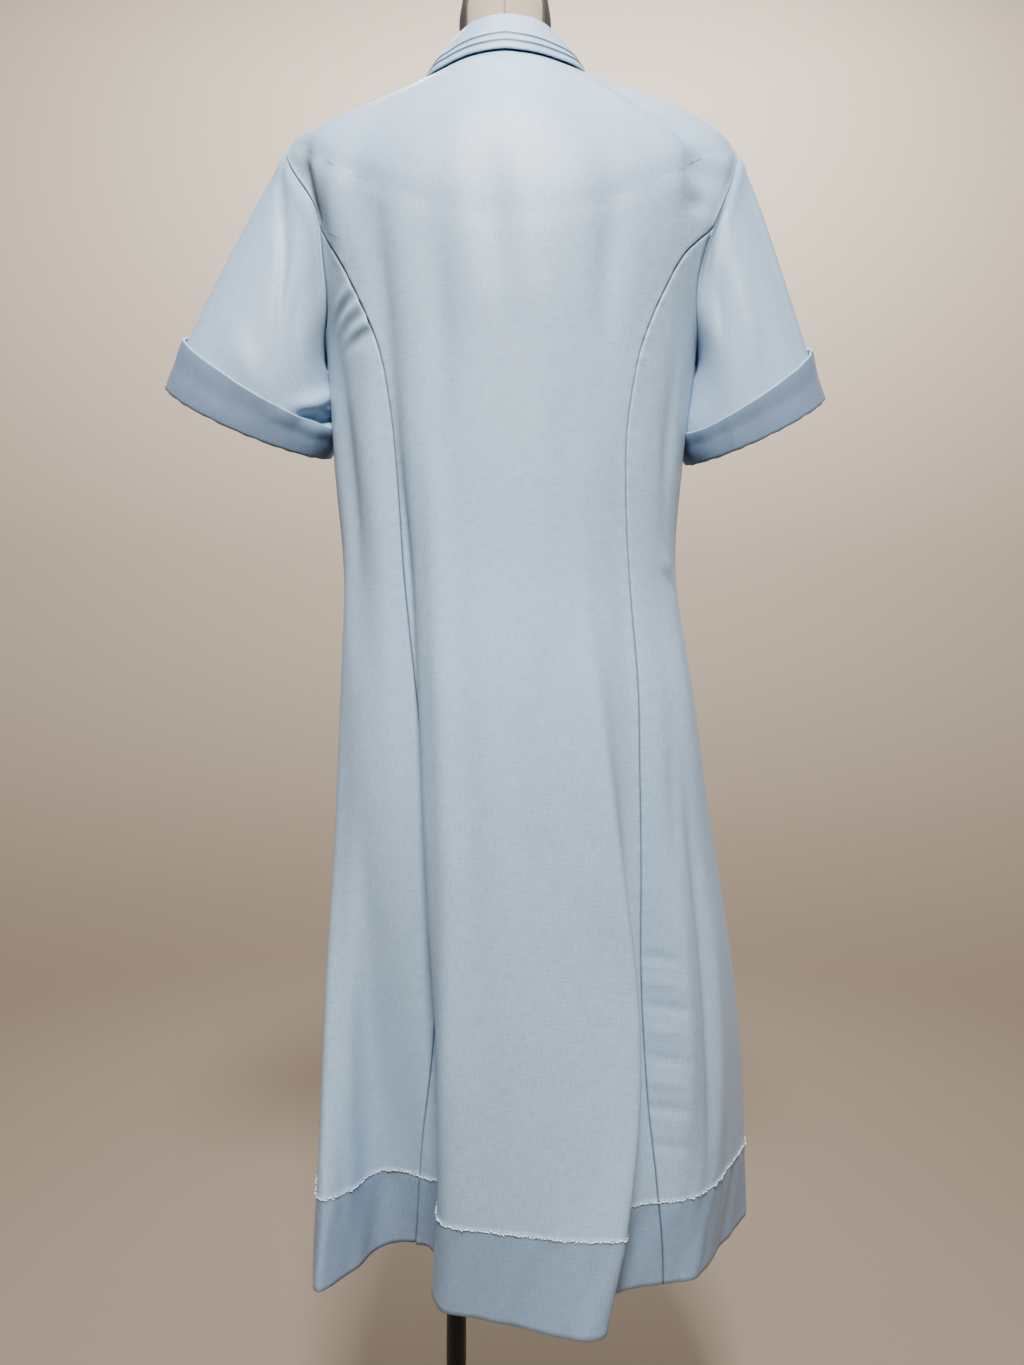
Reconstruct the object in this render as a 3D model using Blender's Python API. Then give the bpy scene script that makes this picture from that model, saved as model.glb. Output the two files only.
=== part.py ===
# A short-sleeved uniform dress on a limbless dress form with a pole and a round base.
# Metres, +Z up, floor at z = 0. The dress faces -Y, so its back faces +Y.
# An angle is measured round the body in degrees: 0 is the centre back, 90 the wearer's
# left side, 180 the centre front and -90 the wearer's right side.

import math
from collections import namedtuple

import bmesh
import bpy
from mathutils import Vector

# Cloth: the wall of one layer, a folded double layer, and the room between two pieces
WALL = 0.0012
DOUBLE_WALL = 0.0024
GAP = 0.0003

# Heights of the dress
HEM_HEIGHT = 0.342
HEM_ALLOWANCE = 0.076
CHEST_HEIGHT = 1.150
CHEST_RING_BACK = 1.255
CHEST_RING_FRONT = 1.225
UNDERARM_HEIGHT = 1.180
JUNCTION_HEIGHT = 1.293
SHOULDER_HEIGHT = 1.371

# Armhole: how far it reaches round the body from the side, in degrees
ARMHOLE_BACK = 28.0
ARMHOLE_FRONT = 30.0

# Neckline ring, seen from above, and how far it dips below the side neck point
NECK_SIDE_HEIGHT = 1.436
NECK_HALF_WIDTH = 0.058
NECK_BACK = 0.060
NECK_FRONT = 0.056
NECK_CENTRE_X = 0.007
NECK_CENTRE_Y = 0.006
NECK_DIP_BACK = 0.004
NECK_DIP_FRONT = 0.072
NECK_LEFT_DROP = 0.007

# Yoke: how strongly it leaves the chest upward and reaches the neck inward, as shares of
# its length, and how far the wearer's left shoulder sags
YOKE_RISE = 1.15
YOKE_REACH = 0.85
YOKE_SLOPE = 0.5
LEFT_SHOULDER_SAG = 0.009

# Front closing: each front passes the centre by this much, the right over the left
FRONT_OVERLAP = 0.015
BUTTON_COUNT = 8
BUTTON_RADIUS = 0.0075
BUTTON_THICKNESS = 0.003
BUTTON_TOP = 1.300
BUTTON_BOTTOM = 0.560
BUTTON_SEAT = WALL + 0.0008
NECK_LAP_ROOM = 0.0008

# Short sleeves: each open end is an ellipse square to the sleeve's axis, which leans out
# by its tilt and forward by its pitch. A turn swings the outer side of the ellipse to
# the front, in degrees
Sleeve = namedtuple("Sleeve", "word side end_x end_y end_height tilt pitch half_width half_depth turn")
SLEEVES = [
    Sleeve("left", 1, 0.248, -0.012, 1.127, 24.0, 19.0, 0.080, 0.062, 0.0),
    Sleeve("right", -1, 0.232, -0.016, 1.122, 26.0, 16.0, 0.071, 0.062, 18.0),
]
SIDE_BACK_COLUMNS = 8
SIDE_FRONT_COLUMNS = 5
SLEEVE_RINGS = 8
SLEEVE_START_PULL = 0.105
SLEEVE_END_PULL = 0.110
SLEEVE_OUTWARD = (0.9, 0.0, -0.3)
CUFF_WALL = 0.0018
CUFF_RINGS = 3

# Collar: the cloth is doubled, and turns over at the roll line
COLLAR_WALL = 0.0016
COLLAR_END_ANGLE = 173.0
ROLL_WIDTH = 0.005
COLLAR_FOOT_ROOM = 0.0008
COLLAR_LAP_ROOM = 0.0014
COLLAR_CROWN = 0.0012
COLLAR_ROOM = 0.0026
ROLL_DROP = 0.001
ROLL_CROWN = 0.0025

# Dress form and stand
FORM_BOTTOM = 0.760
NECK_TOP = 1.520
CAP_THICKNESS = 0.014
CAP_RADIUS = 0.030
POLE_RADIUS = 0.0095
POLE_X = 0.048
POLE_Y = 0.000
SOCKET_RADIUS = 0.016
SOCKET_HEIGHT = 0.030
BASE_RADIUS = 0.170
BASE_THICKNESS = 0.014

Section = namedtuple("Section", "height half_width back front shift_x side_y turn")
BODY = [
    Section(0.350, 0.204, 0.140, 0.155, -0.034, -0.016, 8.0),
    Section(0.480, 0.199, 0.136, 0.150, -0.029, -0.012, 6.0),
    Section(0.600, 0.190, 0.132, 0.145, -0.023, -0.008, 4.0),
    Section(0.720, 0.178, 0.128, 0.140, -0.017, -0.004, 2.0),
    Section(0.860, 0.166, 0.122, 0.128, -0.009, 0.000, 0.0),
    Section(0.980, 0.156, 0.117, 0.118, 0.000, 0.000, 0.0),
    Section(1.080, 0.163, 0.121, 0.127, 0.002, 0.000, 0.0),
    Section(1.160, 0.170, 0.127, 0.133, 0.000, 0.000, 0.0),
    Section(1.210, 0.177, 0.130, 0.130, 0.000, 0.002, 0.0),
    Section(1.270, 0.194, 0.129, 0.119, 0.000, 0.006, 0.0),
    Section(1.320, 0.206, 0.124, 0.104, 0.000, 0.009, 0.0),
    Section(1.375, 0.209, 0.112, 0.088, 0.000, 0.012, 0.0),
]

# The hem seen from above: one row for each ridge, hollow or turn of the hanging cloth,
# and the height at which that fold starts
HemTurn = namedtuple("HemTurn", "angle x y start")
HEM_OUTLINE = [
    HemTurn(-165, -0.075, -0.178, 0.80),
    HemTurn(-148, -0.135, -0.163, 0.80),
    HemTurn(-130, -0.200, -0.142, 0.80),
    HemTurn(-110, -0.240, -0.105, 0.80),
    HemTurn(-92, -0.242, -0.052, 0.80),
    HemTurn(-80, -0.222, -0.016, 0.78),
    HemTurn(-70, -0.200, 0.018, 0.76),
    HemTurn(-61, -0.184, 0.047, 0.74),
    HemTurn(-55, -0.172, 0.063, 0.74),
    HemTurn(-46, -0.140, 0.072, 0.74),
    HemTurn(-38, -0.112, 0.085, 0.72),
    HemTurn(-30, -0.091, 0.112, 0.68),
    HemTurn(-23, -0.082, 0.138, 0.66),
    HemTurn(-16, -0.064, 0.148, 0.66),
    HemTurn(-8, -0.040, 0.143, 0.70),
    HemTurn(2, -0.008, 0.131, 0.74),
    HemTurn(12, 0.024, 0.121, 0.76),
    HemTurn(21, 0.053, 0.112, 0.76),
    HemTurn(28, 0.067, 0.088, 0.76),
    HemTurn(38, 0.074, 0.050, 0.76),
    HemTurn(50, 0.088, 0.013, 0.78),
    HemTurn(59, 0.114, 0.022, 0.78),
    HemTurn(69, 0.140, 0.055, 0.76),
    HemTurn(79, 0.165, 0.085, 0.74),
    HemTurn(87, 0.176, 0.058, 0.76),
    HemTurn(98, 0.178, 0.010, 0.80),
    HemTurn(115, 0.176, -0.055, 0.80),
    HemTurn(135, 0.152, -0.118, 0.80),
    HemTurn(152, 0.090, -0.158, 0.80),
    HemTurn(167, 0.035, -0.174, 0.80),
    HemTurn(181, -0.015, -0.176, 0.80),
]

# Soft folds above the hem: how far each stands out (+) or sinks in (-)
SoftFold = namedtuple("SoftFold", "angle spread depth top deepest bottom")
SOFT_FOLDS = [
    SoftFold(56, 7, 0.003, 1.38, 1.31, 1.20),
    SoftFold(44, 6, -0.004, 1.41, 1.33, 1.22),
    SoftFold(-52, 7, -0.005, 1.41, 1.34, 1.26),
    SoftFold(-64, 6, 0.003, 1.38, 1.33, 1.24),
    SoftFold(24, 9, -0.005, 1.02, 0.80, 0.50),
    SoftFold(10, 9, 0.004, 0.98, 0.72, 0.45),
    SoftFold(-12, 9, 0.004, 0.90, 0.66, 0.40),
    SoftFold(-62, 9, 0.005, 0.98, 0.88, 0.70),
    SoftFold(66, 8, 0.004, 1.08, 0.92, 0.75),
]

# Princess seams: angle of each seam at each height, from the hem up to the armhole
SeamAngle = namedtuple("SeamAngle", "height back_left back_right front")
PRINCESS = [
    SeamAngle(0.342, 52.0, 46.5, 130.0),
    SeamAngle(0.435, 49.0, 41.5, 131.0),
    SeamAngle(0.530, 44.5, 37.5, 132.0),
    SeamAngle(0.640, 41.0, 36.0, 134.0),
    SeamAngle(0.780, 41.0, 38.5, 136.0),
    SeamAngle(0.970, 43.0, 42.0, 138.0),
    SeamAngle(1.090, 41.0, 38.5, 138.0),
    SeamAngle(1.160, 43.0, 40.0, 137.0),
    SeamAngle(1.200, 45.5, 43.0, 134.0),
    SeamAngle(1.243, 50.0, 48.0, 129.0),
    SeamAngle(1.276, 54.5, 53.0, 124.0),
    SeamAngle(1.293, 62.0, 62.0, 119.0),
]

# Collar at each angle from the centre back: the height of the stand, how far it leans
# in to the neck, and how far down the yoke its free edge lies (0 at the neckline)
CollarRow = namedtuple("CollarRow", "angle stand lean fall spread")
COLLAR = [
    CollarRow(0, 0.029, 0.005, 0.072, 0.0),
    CollarRow(25, 0.030, 0.007, 0.10, 0.0),
    CollarRow(45, 0.030, 0.009, 0.14, 0.0),
    CollarRow(90, 0.029, 0.013, 0.13, 0.0),
    CollarRow(130, 0.019, 0.007, 0.26, -6.0),
    CollarRow(160, 0.010, 0.002, 0.55, -14.0),
    CollarRow(173, 0.006, 0.000, 0.72, -24.0),
]

# Room between the dress and the form: wide at the waist, seated at the shoulders
FormRoom = namedtuple("FormRoom", "height room")
FORM_ROOM = [
    FormRoom(0.760, 0.030),
    FormRoom(0.860, 0.018),
    FormRoom(0.980, 0.024),
    FormRoom(1.100, 0.016),
    FormRoom(1.200, 0.014),
    FormRoom(1.300, 0.012),
    FormRoom(1.371, 0.010),
    FormRoom(1.771, 0.0085),
    FormRoom(2.071, 0.0042),
    FormRoom(2.371, 0.0028),
]


def ease(share):
    """A smooth step from 0 to 1."""
    share = min(1.0, max(0.0, share))
    return share * share * (3.0 - 2.0 * share)


def along(rows, at, column, key="height", period=None):
    """One column of a table, read at any key by a smooth curve through its rows."""
    keys = [getattr(row, key) for row in rows]
    values = [getattr(row, column) for row in rows]
    if period is not None:
        at = keys[0] + (at - keys[0]) % period
        keys = [keys[-2] - period, keys[-1] - period] + keys + [keys[0] + period, keys[1] + period]
        values = values[-2:] + values + values[:2]
    at = min(keys[-1], max(keys[0], at))
    span = 0
    while span < len(keys) - 2 and at > keys[span + 1]:
        span += 1
    width = keys[span + 1] - keys[span]

    def slope(index):
        low = max(0, index - 1)
        high = min(len(keys) - 1, index + 1)
        return (values[high] - values[low]) / (keys[high] - keys[low])

    t = (at - keys[span]) / width
    start, end = values[span], values[span + 1]
    leave, arrive = slope(span) * width, slope(span + 1) * width
    return (
        start * (2 * t**3 - 3 * t**2 + 1)
        + leave * (t**3 - 2 * t**2 + t)
        + end * (3 * t**2 - 2 * t**3)
        + arrive * (t**3 - t**2)
    )


def body_point(height, angle):
    """A point of the plain bodice or skirt: an oval section at one height."""
    turn = math.radians(angle)
    across = along(BODY, height, "half_width") * math.sin(turn)
    depth = "back" if math.cos(turn) >= 0.0 else "front"
    deep = along(BODY, height, depth) * math.cos(turn)
    skew = math.radians(along(BODY, height, "turn"))
    x = across * math.cos(skew) - deep * math.sin(skew) + along(BODY, height, "shift_x")
    y = across * math.sin(skew) + deep * math.cos(skew) + along(BODY, height, "side_y")
    return Vector((x, y, height))


def chest_ring(angle):
    """The ring round the chest that rises at the sides to the shoulder points."""
    rise = math.sin(math.radians(angle)) ** 2
    low = CHEST_RING_BACK if math.cos(math.radians(angle)) >= 0.0 else CHEST_RING_FRONT
    return low + (SHOULDER_HEIGHT - low) * rise


def neck_point(angle):
    """A point of the neckline."""
    turn = math.radians(angle)
    facing = math.cos(turn)
    if facing >= 0.0:
        deep, dip = NECK_BACK, NECK_DIP_BACK * facing**2
    else:
        deep, dip = NECK_FRONT, NECK_DIP_FRONT * abs(facing) ** 1.6
    left = NECK_LEFT_DROP * max(0.0, math.sin(turn)) ** 1.5
    return Vector((
        NECK_CENTRE_X + NECK_HALF_WIDTH * math.sin(turn),
        NECK_CENTRE_Y + deep * facing,
        NECK_SIDE_HEIGHT - dip - left,
    ))


def yoke_point(share, angle):
    """A point between the chest ring (share 0) and the neckline (share 1)."""
    ring = chest_ring(angle)
    low = body_point(ring, angle)
    high = neck_point(angle)
    across = high - low
    side = math.sin(math.radians(angle)) ** 8
    upward = (body_point(ring, angle) - body_point(ring - 0.02, angle)).normalized()
    leave = upward * across.length * YOKE_RISE * (1.0 - side) + across * side
    inward = Vector((across.x, across.y, 0.0)).normalized()
    arrive = inward * YOKE_REACH + Vector((0.0, 0.0, YOKE_SLOPE))
    arrive = arrive * across.length * (1.0 - side) + across * side
    t = share
    left = max(0.0, math.sin(math.radians(angle))) ** 3
    sag = LEFT_SHOULDER_SAG * left * 16.0 * t**2 * (1.0 - t) ** 2
    return Vector((0.0, 0.0, -sag)) + (
        low * (2 * t**3 - 3 * t**2 + 1)
        + leave * (t**3 - 2 * t**2 + t)
        + high * (3 * t**2 - 2 * t**3)
        + arrive * (t**3 - t**2)
    )


def plain_point(level, angle):
    """The dress without folds. Up to the chest a level is a height; from there to the
    shoulder height levels bend up to the chest ring, and one more unit is the yoke."""
    if level <= CHEST_HEIGHT:
        return body_point(level, angle)
    if level <= SHOULDER_HEIGHT:
        share = (level - CHEST_HEIGHT) / (SHOULDER_HEIGHT - CHEST_HEIGHT)
        return body_point(CHEST_HEIGHT + (chest_ring(angle) - CHEST_HEIGHT) * share, angle)
    return yoke_point(level - SHOULDER_HEIGHT, angle)


FULL_TURN = 360.0
FOLD_GROWTH = 1.5


def cloth_point(level, angle):
    """The outer face of the dress, with its folds."""
    point = plain_point(level, angle)
    start = along(HEM_OUTLINE, angle, "start", "angle", FULL_TURN)
    if level < start:
        hang = Vector((
            along(HEM_OUTLINE, angle, "x", "angle", FULL_TURN),
            along(HEM_OUTLINE, angle, "y", "angle", FULL_TURN),
            level,
        ))
        share = ((start - level) / (start - HEM_HEIGHT)) ** FOLD_GROWTH
        point = point.lerp(hang, share)
    outward = Vector((point.x - NECK_CENTRE_X, point.y, 0.0)).normalized()
    for fold in SOFT_FOLDS:
        apart = (angle - fold.angle + 180.0) % 360.0 - 180.0
        if point.z >= fold.deepest:
            fade = ease((fold.top - point.z) / (fold.top - fold.deepest))
        else:
            fade = ease((point.z - fold.bottom) / (fold.deepest - fold.bottom))
        point = point + outward * fold.depth * fade * math.exp(-((apart / fold.spread) ** 2))
    return point


NORMAL_STEP = 0.004


def outward_normal(point_at, level, angle):
    """The direction square to a surface that is given by level and angle."""
    step = NORMAL_STEP
    upper = min(level + step, SHOULDER_HEIGHT + 1.0)
    rise = point_at(upper, angle) - point_at(upper - 2.0 * step, angle)
    round_body = point_at(level, angle + 0.5) - point_at(level, angle - 0.5)
    return rise.cross(round_body).normalized()


ARMHOLE_MIDDLE = (SHOULDER_HEIGHT + UNDERARM_HEIGHT) / 2.0
ARMHOLE_HALF = (SHOULDER_HEIGHT - UNDERARM_HEIGHT) / 2.0


def armhole_angle(level, side_reach):
    """How far from the side seam the armhole's edge lies at one level, in degrees."""
    off_middle = min(1.0, abs(level - ARMHOLE_MIDDLE) / ARMHOLE_HALF)
    return side_reach * math.sqrt(1.0 - off_middle**2)


# Levels of the rows of every panel, from the hem to the neckline
SKIRT_ROWS = 17
UNDERARM_SHARES = [0.35, 0.65, 0.88, 1.0]
ARMHOLE_ROWS = 4
YOKE_ROWS = 5
LOW_LEVELS = [HEM_HEIGHT, HEM_HEIGHT + HEM_ALLOWANCE / 2, HEM_HEIGHT + HEM_ALLOWANCE]
LOW_LEVELS += [
    HEM_HEIGHT + HEM_ALLOWANCE + 0.001 + (CHEST_HEIGHT - HEM_HEIGHT - HEM_ALLOWANCE - 0.001) * row / SKIRT_ROWS
    for row in range(SKIRT_ROWS + 1)
]
ARMHOLE_LEVELS = [
    JUNCTION_HEIGHT + (SHOULDER_HEIGHT - JUNCTION_HEIGHT) * math.sin(math.pi / 2 * row / ARMHOLE_ROWS)
    for row in range(1, ARMHOLE_ROWS + 1)
]
YOKE_LEVELS = [SHOULDER_HEIGHT + row / YOKE_ROWS for row in range(1, YOKE_ROWS + 1)]


def wall_at(level):
    """Cloth thickness: two layers in the hem allowance, one above it."""
    return DOUBLE_WALL if level <= HEM_HEIGHT + HEM_ALLOWANCE + 0.0005 else WALL


def material(name, color, roughness, metallic=0.0):
    """A plain Principled finish for one sub-part."""
    finish = bpy.data.materials.new(name)
    finish.use_nodes = True
    shader = finish.node_tree.nodes["Principled BSDF"]
    shader.inputs["Base Color"].default_value = (*color, 1.0)
    shader.inputs["Roughness"].default_value = roughness
    shader.inputs["Metallic"].default_value = metallic
    return finish


CLOTH_BLUE = (0.45, 0.54, 0.61)
FORM_BEIGE = (0.55, 0.43, 0.31)
STAND_BLACK = (0.02, 0.02, 0.022)
BUTTON_BLUE = (0.52, 0.60, 0.66)


def add_object(name, points, faces, color, roughness, metallic=0.0):
    """One closed named solid with its own material and faces pointing out."""
    mesh = bpy.data.meshes.new(name)
    mesh.from_pydata([tuple(point) for point in points], [], faces)
    mesh.update()
    shaped = bmesh.new()
    shaped.from_mesh(mesh)
    bmesh.ops.recalc_face_normals(shaped, faces=shaped.faces)
    shaped.to_mesh(mesh)
    shaped.free()
    mesh.shade_smooth()
    mesh.set_sharp_from_angle(angle=math.radians(40))
    mesh.materials.append(material(name + "_finish", color, roughness, metallic))
    item = bpy.data.objects.new(name, mesh)
    bpy.context.collection.objects.link(item)
    return item


def wall_solid(name, outer, inner, color, ring=False):
    """A wall between two grids of points, closed along its free edges. In a ring the
    last column meets the first."""
    rows, columns = len(outer), len(outer[0])
    points = [point for row in outer for point in row] + [point for row in inner for point in row]
    second = rows * columns
    faces = []
    spans = columns if ring else columns - 1
    for row in range(rows - 1):
        for column in range(spans):
            beside = (column + 1) % columns
            a, b = row * columns + column, row * columns + beside
            c, d = a + columns, b + columns
            faces.append((a, b, d, c))
            faces.append((second + a, second + c, second + d, second + b))
    for column in range(spans):
        beside = (column + 1) % columns
        top = (rows - 1) * columns
        faces.append((column, second + column, second + beside, beside))
        faces.append((top + column, top + beside, second + top + beside, second + top + column))
    if not ring:
        last = columns - 1
        for row in range(rows - 1):
            a, c = row * columns, (row + 1) * columns
            faces.append((a, c, second + c, second + a))
            faces.append((a + last, second + a + last, second + c + last, c + last))
    return add_object(name, points, faces, color, 0.8)


def pull_back(grid, sides):
    """Draw the named edges of a grid back by half a seam's gap."""
    half = GAP / 2.0
    if "left" in sides:
        for row in grid:
            row[0] = row[0] + (row[1] - row[0]).normalized() * half
    if "right" in sides:
        for row in grid:
            row[-1] = row[-1] + (row[-2] - row[-1]).normalized() * half
    if "top" in sides:
        for column in range(len(grid[0])):
            top, below = grid[-1][column], grid[-2][column]
            grid[-1][column] = top + (below - top).normalized() * half


def panel(name, places, sides):
    """One cut piece of the dress, from a grid of (level, angle, lift)."""
    outer, inner = [], []
    for row in places:
        outer_row, inner_row = [], []
        for level, angle, lift in row:
            normal = outward_normal(cloth_point, level, angle)
            point = cloth_point(level, angle) + normal * lift
            outer_row.append(point)
            inner_row.append(point - normal * wall_at(level))
        outer.append(outer_row)
        inner.append(inner_row)
    pull_back(outer, sides)
    pull_back(inner, sides)
    return wall_solid(name, outer, inner, CLOTH_BLUE)


def spread(start, end, count):
    return [start + (end - start) * step / count for step in range(count + 1)]


def centre_levels():
    """Levels of the rows of the centre back and of the fronts."""
    rise = [CHEST_HEIGHT + (JUNCTION_HEIGHT - CHEST_HEIGHT) * share for share in UNDERARM_SHARES]
    return LOW_LEVELS + rise + ARMHOLE_LEVELS + YOKE_LEVELS


def outer_edge(level, side, column, reach):
    """Angle of a centre piece's outer edge: princess seam, armhole, then shoulder."""
    if level < JUNCTION_HEIGHT:
        return side * along(PRINCESS, level, column)
    if level <= SHOULDER_HEIGHT:
        away = armhole_angle(level, reach)
        return side * (90.0 - away if column != "front" else 90.0 + away)
    return side * 90.0


def make_back(columns=14):
    places = []
    for level in centre_levels():
        left = outer_edge(level, 1, "back_left", ARMHOLE_BACK)
        right = outer_edge(level, -1, "back_right", ARMHOLE_BACK)
        places.append([(level, angle, 0.0) for angle in spread(right, left, columns)])
    panel("back", places, ("left", "right"))


def front_angles(level, side, columns):
    """Angles across one front, from its outer edge to just past the centre front."""
    edge = abs(outer_edge(level, side, "front", ARMHOLE_FRONT))
    reach = abs(cloth_point(level, 180.0).y - NECK_CENTRE_Y)
    past = math.degrees(FRONT_OVERLAP / max(reach, NECK_FRONT))
    return [side * angle for angle in spread(edge, 180.0 - past, columns) + [180.0, 180.0 + past]]


def make_front(name, side, over, columns=5):
    """A front. The one that lies over the other steps out where they overlap."""
    places = []
    for level in centre_levels():
        angles = front_angles(level, side, columns)
        room = GAP + NECK_LAP_ROOM * ease(level - SHOULDER_HEIGHT)
        lifts = [0.0] * columns + [(wall_at(level) + room) if over else 0.0] * 3
        places.append([(level, angle, lift) for angle, lift in zip(angles, lifts)])
    panel(name, places, ("left",))


def armhole_run(side, front, count):
    """Levels and angles along the armhole from the princess seam to the side seam."""
    reach = ARMHOLE_FRONT if front else ARMHOLE_BACK
    first = math.acos((JUNCTION_HEIGHT - ARMHOLE_MIDDLE) / ARMHOLE_HALF)
    run = []
    for turn in spread(first, math.pi, count):
        away = reach * math.sin(turn)
        angle = 90.0 + away if front else 90.0 - away
        run.append((ARMHOLE_MIDDLE + ARMHOLE_HALF * math.cos(turn), side * angle))
    return run


def make_side(name, side, column, columns):
    """A side panel, from the princess seam to the side seam, under the armhole."""
    front = column == "front"
    reach = ARMHOLE_FRONT if front else ARMHOLE_BACK
    top = armhole_run(side, front, columns)
    places = []
    for level in LOW_LEVELS:
        seam = outer_edge(level, side, column, reach)
        places.append([(level, angle, 0.0) for angle in spread(seam, side * 90.0, columns)])
    plain_top = spread(outer_edge(JUNCTION_HEIGHT, side, column, reach), side * 90.0, columns)
    for share in UNDERARM_SHARES:
        seam_level = CHEST_HEIGHT + (JUNCTION_HEIGHT - CHEST_HEIGHT) * share
        plain = spread(outer_edge(seam_level, side, column, reach), side * 90.0, columns)
        cells = []
        for step in range(columns + 1):
            level = CHEST_HEIGHT + (top[step][0] - CHEST_HEIGHT) * share
            cells.append((level, plain[step] + (top[step][1] - plain_top[step]) * share, 0.0))
        places.append(cells)
    panel(name, places, ("left", "right", "top"))


def armhole_loop(side, back_columns, front_columns):
    """The whole armhole, from the shoulder down the back and up the front, as
    (level, angle) with the turn round the loop in degrees."""
    loop = [(SHOULDER_HEIGHT, side * 90.0)]
    for level in reversed(ARMHOLE_LEVELS[:-1]):
        loop.append((level, side * (90.0 - armhole_angle(level, ARMHOLE_BACK))))
    loop += armhole_run(side, False, back_columns)
    loop += list(reversed(armhole_run(side, True, front_columns)))[1:]
    for level in ARMHOLE_LEVELS[:-1]:
        loop.append((level, side * (90.0 + armhole_angle(level, ARMHOLE_FRONT))))
    cells = []
    for level, angle in loop:
        height = (level - ARMHOLE_MIDDLE) / ARMHOLE_HALF
        away = 90.0 - abs(angle)
        turn = math.degrees(math.acos(max(-1.0, min(1.0, height))))
        cells.append((level, angle, turn if away >= 0.0 else -turn))
    return cells


def sleeve_rings(cut):
    """Rings of a sleeve's outer face, from armhole to open end, and their normals."""
    side = cut.side
    tilt = math.radians(cut.tilt)
    swing = math.radians(cut.turn)
    pitch = math.radians(cut.pitch)
    down = Vector((0.0, -math.sin(pitch), -math.cos(pitch)))
    axis = Vector((side * math.sin(tilt), 0.0, 0.0)) + down * math.cos(tilt)
    outer_side = Vector((side * math.cos(tilt), 0.0, 0.0)) - down * math.sin(tilt)
    backward = Vector((0.0, math.cos(pitch), -math.sin(pitch)))
    across = outer_side * math.cos(swing) - backward * math.sin(swing)
    deep = backward * math.cos(swing) + outer_side * math.sin(swing)
    end = Vector((side * cut.end_x, cut.end_y, cut.end_height))
    loop = armhole_loop(side, SIDE_BACK_COLUMNS, SIDE_FRONT_COLUMNS)
    seam = [cloth_point(level, angle) for level, angle, turn in loop]
    middle = sum(seam, Vector()) / len(seam)
    count = len(loop)
    lines = []
    for index, (level, angle, turn) in enumerate(loop):
        normal = outward_normal(cloth_point, level, angle)
        run = seam[(index + 1) % count] - seam[index - 1]
        into_hole = normal.cross(run).normalized()
        if into_hole.dot(middle - seam[index]) < 0.0:
            into_hole = -into_hole
        theta = math.radians(turn)
        upper_share = (1.0 + math.cos(theta)) / 2.0
        outward = Vector((side * SLEEVE_OUTWARD[0], SLEEVE_OUTWARD[1], SLEEVE_OUTWARD[2]))
        leave = into_hole * upper_share * 0.8 + outward * (1.1 - upper_share * 0.6) + axis * 0.5
        leave.normalize()
        goal = end + across * cut.half_width * math.cos(theta) + deep * cut.half_depth * math.sin(theta)
        lines.append((seam[index] + leave * GAP, leave, goal, into_hole, normal))
    rings = []
    for ring in range(SLEEVE_RINGS + 1):
        t = ring / SLEEVE_RINGS
        row = []
        for start, leave, goal, into_hole, normal in lines:
            row.append(
                start * (2 * t**3 - 3 * t**2 + 1)
                + leave * SLEEVE_START_PULL * (t**3 - 2 * t**2 + t)
                + goal * (3 * t**2 - 2 * t**3)
                + axis * SLEEVE_END_PULL * (t**3 - t**2)
            )
        rings.append(row)
    normals = ring_normals(rings, side)
    for index, (start, leave, goal, into_hole, normal) in enumerate(lines):
        facing = normals[0][index]
        facing = facing - into_hole * max(0.0, facing.dot(into_hole))
        normals[0][index] = facing.normalized()
    return rings, normals


def ring_normals(rings, side):
    """Directions square to a tube that is given by rings."""
    normals = []
    count = len(rings[0])
    for ring in range(len(rings)):
        above = rings[max(0, ring - 1)]
        below = rings[min(len(rings) - 1, ring + 1)]
        row = []
        for index in range(count):
            down = below[index] - above[index]
            beside = rings[ring][(index + 1) % count] - rings[ring][index - 1]
            row.append(down.cross(beside).normalized() * side)
        normals.append(row)
    return normals


def moved(rings, normals, distance):
    return [
        [point + normal * distance for point, normal in zip(row, facing)]
        for row, facing in zip(rings, normals)
    ]


def make_sleeve(cut):
    """A set-in sleeve and the cuff that is turned up round its open end."""
    rings, normals = sleeve_rings(cut)
    wall_solid("sleeve_" + cut.word, rings, moved(rings, normals, -WALL), CLOTH_BLUE, ring=True)
    rows = rings[-CUFF_RINGS:]
    facing = normals[-CUFF_RINGS:]
    inside = moved(rows, facing, GAP)
    outside = moved(rows, facing, GAP + CUFF_WALL)
    wall_solid("cuff_" + cut.word, outside, inside, CLOTH_BLUE, ring=True)


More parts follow.
